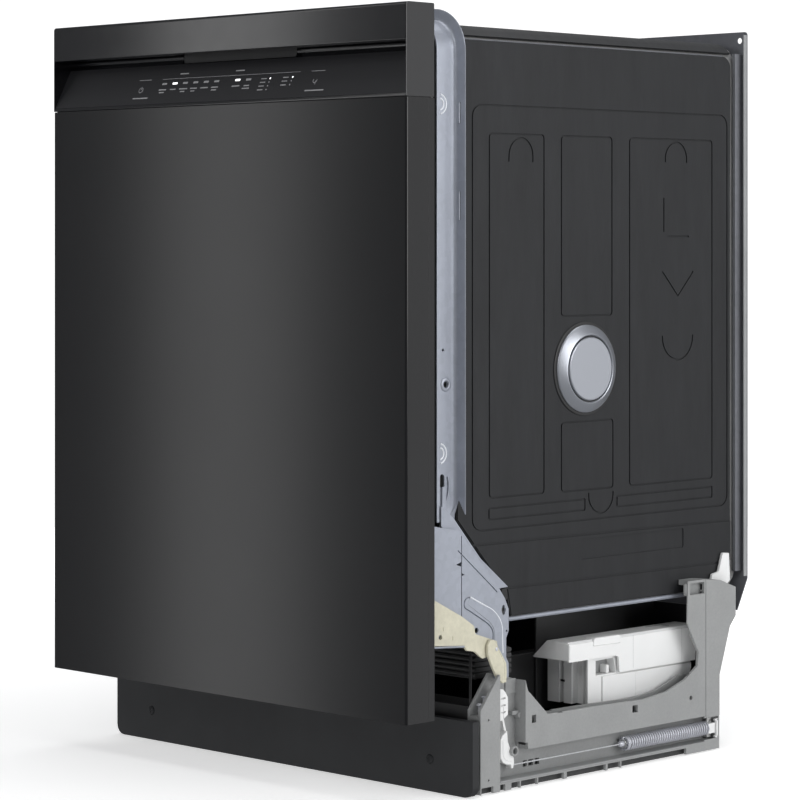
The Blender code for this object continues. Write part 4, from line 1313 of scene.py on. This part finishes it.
def make_service_bay():
    """What shows under the tub: the ridged black duct, the bulkhead, and the pan's rim."""
    rim_cut = box_shape((-290, 290), (-186, -177), (96.0, 172.0))
    refined("base_pan", INSIDE_BLACK, "root", soften=0.8, extra=lambda shape: cut_shape(shape, rim_cut))
    for side, name in SIDES:
        rib = sheet_shape("YZ", [rounded_box((-156.0, -2.6), (-96.0, 2.6), 2.4, 4)], 150.0, 262.0)
        ribs = in_row(moved(rib, (0, 0, 124.6)), 5, (0, 0, 5.9), BELLOWS_BLACK)
        settle("duct_ridges_" + name, ribs, BELLOWS_BLACK, "root", side, soften=0.4)
        core = box_shape((152, 260), (-153.5, -98), (120, 152))
        settle("duct_core_" + name, core, INSIDE_BLACK, "root", side, soften=1.0)
        shelf = box_shape((120, 271), (-150.0, -104.0), (77.0, 87.6))
        settle("duct_shelf_" + name, shelf, BELLOWS_BLACK, "root", side, soften=1.5, steps=3)
    wall = [(226, 60), (226, 178), *arc((22, 168), 9, 90, 180, 6), (13, 60)]
    bulkhead = sheet_shape("YZ", [wall], 196.0, 200.0)
    settle("bay_bulkhead", bulkhead, BELLOWS_BLACK, "root", soften=1.5, steps=3)
    junction = box_shape((178, 196.4), (-30, 60), (70, 128))
    settle("bay_junction_box", junction, INSIDE_BLACK, "root", soften=2.0, steps=3)


def make_module_case():
    """White electronics case: a pressed side with a window, and a ribbed front."""
    case = [(33.0, 126.6), (209.0, 126.6), *arc((176.0, 104.0), 33.0, 0, -90, 8), (33.0, 71.0)]
    window = [(38.0, 105.0), (38.0, 121.6), (69.0, 122.4), (73.0, 105.0)]
    shell = cut_shape(sheet_shape("YZ", [case], 207.0, 269.6), sheet_shape("YZ", [window], 256.0, 272.0))
    made = settle("module_case", shell, WHITE_PLASTIC, "root", soften=0.7)
    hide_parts("power_module_housing")
    face = [
        (48.0, 103.0), (208.0, 103.0), (208.0, 96.0), *arc((178.0, 104.6), 30.4, 0, -90, 8)[2:], (48.0, 73.4),
    ]
    seam = box_shape((271.2, 273.0), (106.2, 106.7), (70, 104))
    pressing = cut_shape(sheet_shape("YZ", [face], 269.4, 271.6), seam)
    settle("module_side_face", pressing, WHITE_PLASTIC, "root", soften=0.7)
    ribs = (
        (209.5, 228.0, 22.0), (233.8, 246.6, 22.5), (258.0, 260.0, 27.0), (263.6, 264.8, 27.0),
        (267.6, 269.8, 24.0),
    )
    front = merged(*[box_shape((low, high), (y, 34.0), (71.5, 126.0)) for low, high, y in ribs])
    settle("module_front_ribs", front, WHITE_PLASTIC, "root", soften=0.3, smooth=30)
    # Black boxes in the gap between the ribs and in the notch beside it are painted shade.
    slot = box_shape((228.4, 233.4), (31.0, 33.0), (72, 126))
    notch = box_shape((230.0, 236.0), (21.6, 23.0), (96.0, 98.4))
    settle("module_front_gap_painted_shade", merged(slot, notch), INSIDE_BLACK, "root")
    window_back = box_shape((256.4, 258.0), (38.6, 72.0), (105.6, 121.4))
    settle("module_window_back", window_back, GREY_PLASTIC, "root")
    post = box_shape((258.0, 268.4), (58.0, 63.0), (105.2, 115.0))
    settle("module_window_post", post, WHITE_PLASTIC, "root", soften=1.2, steps=3)


def make_module_lid():
    """Deep-skirted lid with a bevelled end, a snap on its edge, and fine seams."""
    roof = [(219.0, 126.9), (221.0, 127.4), (237.5, 144.5), (242.0, 148.0), (272.4, 148.0), (275.0, 145.2)]
    skirt = [(-13.9, 126.9), (-13.9, 125.6), (67.0, 125.6), (72.0, 123.4), (74.0, 105.6), (211.5, 105.6)]
    cover = sheet_shape("XZ", [[*roof, (275.0, 126.9)]], -14.0, 213.0)
    rim = sheet_shape("YZ", [[*skirt, (212.9, 126.9)]], 271.9, 275.0)
    lid = join_shapes(cover, rim)
    made = settle("module_lid", lid, WHITE_PLASTIC, "root", soften=1.3, steps=3)
    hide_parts("power_module_lid")
    flare = lofted_shape([
        [(219.2, -14.5, 127.6), (275.0, -14.5, 127.6), (275.0, -14.5, 146.0), (241.0, -14.5, 147.4)],
        [(219.2, -13.0, 127.6), (275.0, -13.0, 127.6), (275.0, -13.0, 147.2), (241.0, -13.0, 147.9)],
    ])
    settle("module_lid_end", flare, WHITE_PLASTIC, "root", soften=0.4)
    tongue = [(27.0, 140.0), (75.0, 139.4), (75.0, 146.0), (72.0, 149.6), (30.0, 149.6), (27.0, 147.0)]
    snap = sheet_shape("YZ", [tongue], 262.0, 276.6)
    settle("module_snap", snap, WHITE_PLASTIC, "root", soften=1.4, steps=3)
    hatch = rounded_path([(250, 150, 148.05), (250, 176, 148.05), (250, 178, 148.05), (262, 178, 148.05)], 3)
    seams = merged(
        box_shape((274.9, 275.06), (97.8, 98.1), (108, 146)),
        box_shape((274.9, 275.06), (186.2, 186.5), (108, 146)),
        swept([hatch], 0.5, WHITE_PLASTIC, sides=6),
    )
    settle("module_lid_seams", seams, POST_GREY, "root")


# Hinges and the counterbalance


def plate_inner_line():
    """Upper left end and inner edge of the plate's pressed channel."""
    end = arc((-189.0, 209.4), 6.8, 62, 232, 8)
    return end + flat_path([(-186.6, 200.8), (-157.5, 184.4), (-149.7, 176.8), (-149.9, 148.0)], 8, 5)


def cut_hinge_plate(shape, side):
    """The plate's seam, notches, holes and the grooves beside its channel."""
    def pressed(outline, near=280):
        return sheet_shape("YZ", [outline], side * near, side * 286)

    return cut_shape(
        shape,
        box_shape((side * 280, side * 286), (-200.3, -199.1), (194.0, 300.0)),
        pressed([(-208.5, 253.4), (-199.8, 255.8), (-199.8, 250.8)]),
        pressed([(-199.8, 243.6), (-194.8, 241.6), (-199.8, 240.4)]),
        pressed(rounded_box((-134.8, 192.0), (-130.4, 202.8), 2.0, 4)),
        tube_shape("X", (side * 283, -127.7, 173.9), 1.4, 6, 12),
        pressed(groove([(-205.6, 268.7), (-191.4, 257.2), (-146.7, 221.1), (-143.0, 218.0)], 1.3), 282.4),
        pressed(groove(plate_inner_line(), 1.5), 282.2),
    )


def make_hinge_plates():
    """Pressed plate with its L-shaped channel, a painted highlight along the channel's outer edge, and the
    collar bracket behind it.
    """
    outline = [(-226.0, 318.0), (-206.0, 303.0), (-164.0, 256.4), (-119.4, 221.4), (-141.4, 220.4)]
    outline += [(-214.0, 282.0), (-226.0, 296.0)]
    channel = flat_path([(-189.0, 211.5), (-152.0, 192.6), (-141.4, 180.0), (-141.8, 146.0)], 15, 8)
    highlight_line = flat_path([(-186.0, 216.4), (-147.0, 197.6), (-135.4, 184.0), (-133.9, 150.0)], 14, 8)
    for side, name in SIDES:
        refined("hinge_plate_" + name, GALVANISED, "root", soften=0.3,
                extra=lambda shape, s=side: cut_hinge_plate(shape, s))
        bead = raised_bead(channel, 13.6, 0.7, 283.9)
        settle("plate_channel_" + name, bead, GALVANISED, "root", side, smooth=24)
        # A bar of lighter zinc along the channel's outer edge is a painted highlight.
        edge = swept([flat_3d(highlight_line, 283.7)], 0.95, STAINLESS, sides=8)
        settle("plate_channel_highlight_" + name, edge, ZINC_PAINTED_HIGHLIGHT, "root", side, smooth=60)
        bracket = sheet_shape("YZ", [outline], 277.3, 278.7)
        settle(
            "collar_bracket_" + name, bracket, GALVANISED, "root", side, soften=0.4,
        )
        foot = box_shape((276.4, 279.6), (-131.0, -122.0), (207.0, 220.2))
        settle("bracket_block_" + name, foot, INSIDE_BLACK, "root", side, soften=0.6)


def dent_lever(shape, side):
    return cut_shape(
        shape,
        sheet_shape("YZ", [rounded_box((-234.0, 183.4), (-231.8, 188.4), 1.0, 3)], side * 287.2, side * 289),
        sheet_shape("YZ", [rounded_box((-218.8, 172.4), (-217.0, 177.0), 0.8, 3)], side * 287.2, side * 289),
    )


def make_link(side, name):
    """Cream link between the lever and the rope, with its pivot pin."""
    outline = [
        (-163.0, 167.9), (-158.1, 168.0), (-151.0, 160.5), (-144.2, 150.9), (-136.8, 140.0), (-135.9, 130.0),
        (-136.8, 119.2), (-142.5, 118.2), (-148.0, 122.0), (-154.0, 128.4), (-161.5, 142.0), (-166.4, 152.0),
        (-166.8, 161.5),
    ]
    body = "link_" + name
    link = sheet_shape("YZ", [outline], 288.7, 292.4)
    made = settle("link_body_" + name, link, CREAM, body, side, soften=0.9, steps=3)
    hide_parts("hinge_link_" + name)
    head = [(0, 292.3), (2.1, 292.3), (2.1, 292.9), (1.4, 293.3), (0, 293.4)]
    pin = turned_shape("X", (0, -153.0, 157.0), head, 20)
    settle("link_pin_" + name, pin, SPRING_STEEL, body, side, smooth=30)
    rib = swept([flat_3d([(-149.5, 156.0), (-140.4, 141.0), (-139.4, 122.0)], 292.2)], 0.6, CREAM, sides=8)
    settle("link_rib_" + name, rib, CREAM, body, side)


def make_clip(side, name):
    """White clip that ends the belt, with three slots."""
    outline = [(-148.6, 112.6), (-142.0, 111.6), (-138.0, 108.0), (-134.3, 102.0), (-134.1, 83.0)]
    outline += [(-139.0, 80.0), (-143.5, 77.6), (-148.6, 77.0)]
    clip = cut_shape(
        sheet_shape("YZ", [outline], 285.0, 291.9),
        *[box_shape((289.4, 293), (-145, -138.0), (z, z + 1.8)) for z in (85.4, 93.0, 100.6)],
        box_shape((290.6, 293), (-141.4, -140.6), (79.0, 92.0)),
    )
    body = "rope_clip_" + name
    made = settle(
        "clip_body_" + name, clip, WHITE_PLASTIC, body, side, soften=0.6, steps=3,
    )
    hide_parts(body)


def make_guide(side, name):
    """White guide that turns the rope from the trough up to the clip."""
    outline = [
        (-137.6, 63.0), (-134.6, 65.2), (-133.6, 53.0), (-128.5, 43.0), (-123.8, 33.5), (-123.4, 28.6),
        (-125.0, 22.4), (-128.0, 22.4), (-129.0, 27.0), (-135.0, 27.6), (-141.5, 30.6), (-145.7, 36.0),
        (-145.7, 56.0), (-142.6, 60.4),
    ]
    plate = sheet_shape("YZ", [outline], 283.0, 291.6)
    guide = settle(
        "guide_body_" + name, plate, WHITE_PLASTIC, "root", side, soften=0.9, steps=3,
    )
    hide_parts("rope_guide_" + name)
    swirl = [(-141.6, 54.0), (-141.8, 40.0), (-139.0, 34.6), (-133.0, 31.4), (-127.6, 31.0)]
    rib = swept([flat_3d(swirl, 291.5)], 0.7, WHITE_PLASTIC, sides=8)
    settle("guide_rib_" + name, rib, WHITE_PLASTIC, "root", side)


def make_hinge_train():
    """From the door's lever to the rope guide, on each side."""
    for side, name in SIDES:
        refined("hinge_lever_" + name, CREAM, "door", soften=0.45, steps=2,
                extra=lambda shape, s=side: dent_lever(shape, s))
        edge = [(288.0, -255.0, 168.0), (288.0, -200.0, 164.0)]
        settle("lever_fold_" + name, swept([edge], 1.1, GALVANISED, sides=8), GALVANISED, "door", side)
        make_link(side, name)
        make_clip(side, name)
        make_strap(side, name)
        make_guide(side, name)


def make_strap(side, name):
    """The belt between guide and clip, drawn once where it lies at rest; the real belt pays out as the clip
    rises.
    """
    steps, half, thick = 24, 1.5, 0.6
    near, far = STRAP_X - thick, STRAP_X + thick
    stations = []
    for i in range(steps + 1):
        t = i / steps
        y = -134.0 + (-139.0 + 134.0) * t
        z = 63.0 + (81.0 - 63.0) * t
        stations.append([(near, y - half, z), (far, y - half, z), (far, y + half, z), (near, y + half, z)])
    belt = loose_piece("belt_" + name, lofted_shape(stations), WHITE_PLASTIC, side)
    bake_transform(belt)
    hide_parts("rope_upper_" + name)


def spring_shape(low, high, hook_y, anchor_y):
    """The wound coil, its closed end turns, and the wire that runs on to the hook and the anchor."""
    x, z = SPRING_X, SPRING_Z
    wound = moved(coil(35, 7.5, 1.15, high - low, SPRING_STEEL), (x, low, z), ALONG["Y"])
    turns = [round_loop(7.5, 22, x, y, z) for y in (low - 0.6, low - 2.8, high + 0.4)]
    ends = swept(turns, 0.95, SPRING_STEEL, sides=7, closed=True)
    front = rounded_path([(x, low - 3.0, z + 7.5), (x, low - 5.5, z + 5.6), (x, hook_y + 4.6, z)], 2)
    rear = rounded_path([(x, high, z + 7.4), (x, high + 1.6, z + 5.4), (x, anchor_y + 2.0, z)], 2)
    legs = swept([front], 0.95, SPRING_STEEL, sides=7)
    tail = swept([rear], 0.95, SPRING_STEEL, sides=7)
    return merged(wound, ends, legs, tail)


def make_springs():
    """Coil spring, thin rope, hook with its eye, and the anchor with its cross pin."""
    hook_y, anchor_y, guide_y = 60.0, 213.0, -127.0
    low, high = hook_y + 8.0, anchor_y - 3.0
    for side, name in SIDES:
        def along(y):
            return (side * mm(SPRING_X), mm(y), mm(SPRING_Z))

        hook = "spring_hook_" + name
        wound = spring_shape(low, high, hook_y, anchor_y)
        spring = loose_piece("coil_" + name, wound, SPRING_STEEL, side, smooth=70)
        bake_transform(spring)
        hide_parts("spring_" + name)
        span = [(SPRING_X, guide_y + (hook_y - 4.0 - guide_y) * i / 60, SPRING_Z) for i in range(61)]
        line = loose_piece("rope_" + name, swept([span], 0.8, CORD, sides=8), CORD, side, smooth=70)
        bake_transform(line)
        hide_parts("rope_lower_" + name)
        refined(hook, SPRING_STEEL, hook, soften=0.6, extra=lambda shape, s=side: slim_hook(shape, s))
        loop = round_loop(4.4, 20, SPRING_X, hook_y + 3.0, SPRING_Z)
        eye = swept([loop], 0.8, STAINLESS, sides=7, closed=True)
        settle("hook_eye_" + name, eye, STAINLESS, hook, side, smooth=70)
        refined("spring_anchor_" + name, WHITE_PLASTIC, "root", soften=0.8, steps=3,
                extra=lambda shape, s=side: slim_anchor(shape, s))
        rod = merged(
            box_shape((293.0, 296.6), (225.4, 228.2), (13.6, 36.6)),
            box_shape((293.0, 296.6), (223.0, 229.2), (34.0, 36.4)),
            box_shape((293.0, 296.6), (223.0, 229.2), (14.0, 16.4)),
        )
        settle("anchor_rod_" + name, rod, WHITE_PLASTIC, "root", side, soften=0.5)


def slim_hook(shape, side):
    """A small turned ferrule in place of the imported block."""
    shape.free()
    stations = []
    for y, radius in ((55.2, 1.6), (56.5, 3.0), (58.5, 3.6), (62.0, 3.6), (64.0, 2.4), (64.9, 1.2)):
        stations.append([(side * x, y, z) for x, y, z in round_loop(radius, 14, SPRING_X, y, SPRING_Z)])
    return lofted_shape(stations)


def slim_anchor(shape, side):
    """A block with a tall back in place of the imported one."""
    shape.free()
    block = box_shape((side * 282.0, side * 294.8), (212.4, 224.4), (19.4, 31.6))
    back = box_shape((side * 281.4, side * 287.0), (219.0, 227.2), (13.4, 44.0))
    return join_shapes(block, back)


# Racks, spray arms and what shows when the door is open


RACK_HALF_WIDTH, RACK_FRONT, RACK_REAR = 243.0, -203.0, 237.0


def rack_rim(z, inset):
    low = (-RACK_HALF_WIDTH + inset, RACK_FRONT + inset)
    high = (RACK_HALF_WIDTH - inset, RACK_REAR - inset)
    return [(x, y, z) for x, y in rounded_box(low, high, 26 - inset, 6)]


def hoops(points, count, step):
    """A bent wire through the points, repeated at even steps."""
    wire = swept([rounded_path(points, 12, 4)], 1.7, RACK_NYLON, sides=7)
    return in_row(wire, count, step, RACK_NYLON)


def rack_wires(low, high, across, along):
    """A basket of bent wires: rims, and U-shaped hoops across and along."""
    half, front, rear = RACK_HALF_WIDTH, RACK_FRONT, RACK_REAR
    top, bottom, margin = high - 3.0, low + 7.0, 30.0
    side_rims = [rack_rim((low + high) / 2 + 8, 3.4), rack_rim(low + 9.0, 10.0)]
    parts = [
        swept([rack_rim(top, 3.0)], 2.6, RACK_NYLON, sides=8, closed=True),
        swept(side_rims, 1.9, RACK_NYLON, sides=8, closed=True),
    ]
    y, pitch = front + margin, (rear - front - 2 * margin) / (across - 1)
    crossing = [
        (-half + 3.0, y, top), (-half + 8.0, y, bottom), (half - 8.0, y, bottom), (half - 3.0, y, top),
    ]
    parts.append(hoops(crossing, across, (0, pitch, 0)))
    x, pitch = -half + margin, (2 * half - 2 * margin) / (along - 1)
    running = [(x, front + 3.0, top), (x, front + 8.0, bottom), (x, rear - 8.0, bottom), (x, rear - 3.0, top)]
    parts.append(hoops(running, along, (pitch, 0, 0)))
    return parts


def tines(x, first, last, low, height, count, lean):
    """A line of plate tines on one base wire, as hairpins."""
    pitch = (last - first) / (count - 1)
    top = low + height
    hairpin = [
        (x - 1.6, first, low), (x + lean, first, top), (x + lean + 4.0, first, top), (x + 1.6, first, low),
    ]
    pin = swept([rounded_path(hairpin, 3, 3)], 1.5, RACK_NYLON, sides=7)
    row = in_row(pin, count, (0, pitch, 0), RACK_NYLON)
    base = swept([[(x, first - 8.0, low), (x, last + 8.0, low)]], 1.8, RACK_NYLON, sides=7)
    return [row, base]


def roller(x, y, z, radius, width):
    """A wheel with a dished outer face and a hub, on an axis along X."""
    near, far = x - width / 2, x + width / 2
    tread = [(0, near), (radius * 0.9, near), (radius, near + 0.8), (radius, far - 0.8), (radius * 0.9, far)]
    dish = [(radius * 0.62, far), (radius * 0.58, far - 1.2), (radius * 0.3, far - 1.2)]
    hub = [(radius * 0.26, far + 0.6), (0, far + 0.7)]
    return turned_shape("X", (0, y, z), tread + dish + hub, 28)


def make_baskets():
    """The two wire baskets with their plate tines."""
    wires = rack_wires(209.0, 321.0, 13, 13)
    for x, lean in ((-175.0, 5.0), (-105.0, 5.0), (-35.0, -5.0), (60.0, 5.0), (150.0, 5.0)):
        first = -100.0 if abs(x) < 130 else -170.0
        wires += tines(x, first, 200.0, 218.0, 58.0, 12, lean)
    made = settle("lower_basket", merged(*wires), RACK_NYLON, "lower_rack", smooth=60)
    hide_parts("lower_rack")
    wires = rack_wires(560.0, 659.0, 14, 15)
    for x in (-190.0, -120.0, 70.0, 160.0):
        wires += tines(x, -160.0, 200.0, 569.0, 42.0, 13, 4.0)
    made = settle("upper_basket", merged(*wires), RACK_NYLON, "upper_rack", smooth=60)
    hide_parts("upper_rack")


def make_rack_fittings():
    """Rollers, the upper rack's roller plates and the moulded front grips."""
    plate = rounded_box((-170.0, 562.0), (-92.0, 586.0), 5.0)
    plate_slot = rounded_box((-150.0, 570.0), (-112.0, 580.0), 3.0)
    for side, name in SIDES:
        wheels = [roller(240.0, y, 217.0, 8.0, 6.0) for y in (-160.0, -60.0, 80.0, 190.0)]
        settle("lower_rollers_" + name, merged(*wheels), GREY_PLASTIC, "lower_rack", side, smooth=30)
        wheels = [roller(249.0, y, 568.0, 6.5, 5.0) for y in (-150.0, -110.0, 120.0, 160.0)]
        settle("upper_rollers_" + name, merged(*wheels), GREY_PLASTIC, "upper_rack", side, smooth=30)
        clip = sheet_shape("YZ", [plate, plate_slot], 243.6, 246.0)
        settle("upper_roller_plate_" + name, clip, GREY_PLASTIC, "upper_rack", side, soften=0.5)
    for label, z in (("lower", 309.0), ("upper", 647.0)):
        stations = []
        for x, bulge in ((-78, -3.0), (-70, 0.6), (-40, 1.6), (40, 1.6), (70, 0.6), (78, -3.0)):
            front, rear, low, high = -203.6 - bulge, -198.0, z - 9.0, z + 11.0
            stations.append([(x, front, low), (x, rear, low), (x, rear, high), (x, front, high)])
        grip = lofted_shape(stations)
        settle(label + "_rack_grip", grip, GREY_PLASTIC, label + "_rack", soften=1.2, steps=3)


def make_cutlery_basket():
    """Six slotted cells with two bail handles."""
    block = box_shape((-118.0, 118.0), (-195.8, -128.2), (212.2, 290.0))
    cells = []
    for low in (-115.6, -77.2, -38.8, 2.8, 41.2, 79.6):
        cells.append(box_shape((low, low + 36.0), (-193.4, -130.6), (214.6, 295.0)))
    slots = []
    for z in (221.0, 241.0, 261.0):
        slot = box_shape((-112.0, -108.0), (-199.0, -125.0), (z, z + 14.0))
        slots.append(in_row(slot, 15, (16.0, 0, 0), GREY_PLASTIC))
    basket = cut_shape(block, *cells, *slots)
    made = settle("basket_walls", basket, GREY_PLASTIC, "lower_rack", soften=0.5)
    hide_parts("cutlery_basket")
    bail = [(0, -162.0, 288.0), (0, -162.0, 314.0), (-40, -162.0, 316.0), (-40, -162.0, 288.0)]
    handle = rounded_path(bail, 8, 5)
    handles = swept([handle, [(-x, y, z) for x, y, z in handle]], 2.8, GREY_PLASTIC, sides=10)
    settle("basket_handles", handles, GREY_PLASTIC, "lower_rack", smooth=60)


def make_spray_arms():
    """Arms with five nozzles on each half and a round hub."""
    for node, reach, top in (("lower_spray_arm", 215.0, 200.0), ("upper_spray_arm", 195.0, 547.0)):
        refined(node, GREY_PLASTIC, node, soften=1.6, steps=3)
        nozzle = [(4.2, top - 1.2), (3.6, top + 0.9), (2.4, top + 1.3), (1.6, top + 0.6), (1.5, top - 1.0)]
        jets = []
        for sign in (1, -1):
            for number in range(5):
                x = sign * (50.0 + number * (reach - 75.0) / 4)
                y = 17.0 + sign * (4.0 - 2.0 * number)
                jets.append(moved(turned_shape("Z", (0, 0, 0), nozzle, 18), (x, y, 0)))
        settle(node + "_jets", close_bands(merged(*jets)), GREY_PLASTIC, node, smooth=40)
        cap = [(0, top + 4.0), (9.0, top + 3.6), (13.0, top + 1.4), (16.0, top - 0.8), (16.0, top - 2.0)]
        hub = turned_shape("Z", (0, 17.0, 0), [*cap, (0, top - 2.0)], 32)
        settle(node + "_hub", hub, GREY_PLASTIC, node, smooth=40)


def close_bands(shape):
    """Closes the open edges of small turned bands with flat faces."""
    bmesh.ops.holes_fill(shape, edges=shape.edges, sides=0)
    return shape


def lower_top(shape):
    """Lets the mat sag onto the tub's top."""
    for vert in shape.verts:
        if vert.co.z > 0.835:
            vert.co.z -= mm(2.4)
    return shape


def make_door_inside():
    """Liner, dispenser and its lid, rinse cap and latch, and the tub with its gasket and top mat."""
    refined("door_liner", STAINLESS, "door", soften=1.2, steps=3)
    refined("dispenser_body", GREY_PLASTIC, "door", soften=0.8, steps=3)
    refined("dispenser_lid", GREY_PLASTIC, "dispenser_lid", soften=1.0, steps=3)
    refined("rinse_cap", GREY_PLASTIC, "rinse_cap", soften=0.7, steps=3)
    refined("door_latch", INSIDE_BLACK, "door", soften=0.5)
    refined("tub_gasket", RUBBER, "root", soften=1.4, steps=3, smooth=55, merge=False)
    refined("tub", STAINLESS, "root", soften=0.7, merge=False)
    refined("top_mat", SOUND_MAT, "root", soften=0.6, extra=lower_top)


def make_underside():
    """Sump, pumps, water pipe, filter, rails and feet."""
    refined("sump", INSIDE_BLACK, "root", soften=0.9)
    refined("circulation_pump", INSIDE_BLACK, "root", soften=1.2)
    refined("drain_pump", GREY_PLASTIC, "root", soften=1.0)
    refined("spray_feed_pipe", INSIDE_BLACK, "root", soften=0.8)
    refined("filter_cylinder", GREY_PLASTIC, "filter", soften=0.6)
    for _, name in SIDES:
        refined("rack_rail_" + name, STAINLESS, "root", soften=0.6)
    for number in (1, 2, 3):
        refined(f"levelling_foot_{number}", GREY_PLASTIC, "root", soften=0.8)


def build_dishwasher():
    set_camera()
    set_studio()
    make_floor()
    make_door_panel()
    make_fascia()
    make_console_marks()
    make_kick_plate()
    make_collar()
    make_side_mats()
    make_tub_rails()
    make_vent_cap()
    make_rear_panel()
    make_base_sides()
    make_service_bay()
    make_module_case()
    make_module_lid()
    make_hinge_plates()
    make_hinge_train()
    make_springs()
    make_baskets()
    make_rack_fittings()
    make_cutlery_basket()
    make_spray_arms()
    make_door_inside()
    make_underside()


build_dishwasher()

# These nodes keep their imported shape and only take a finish.
PLAIN = {"door_insulation": FELT, "control_board": CIRCUIT}
for node, finish in PLAIN.items():
    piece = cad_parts[node]
    piece.data.materials.clear()
    piece.data.materials.append(finish)
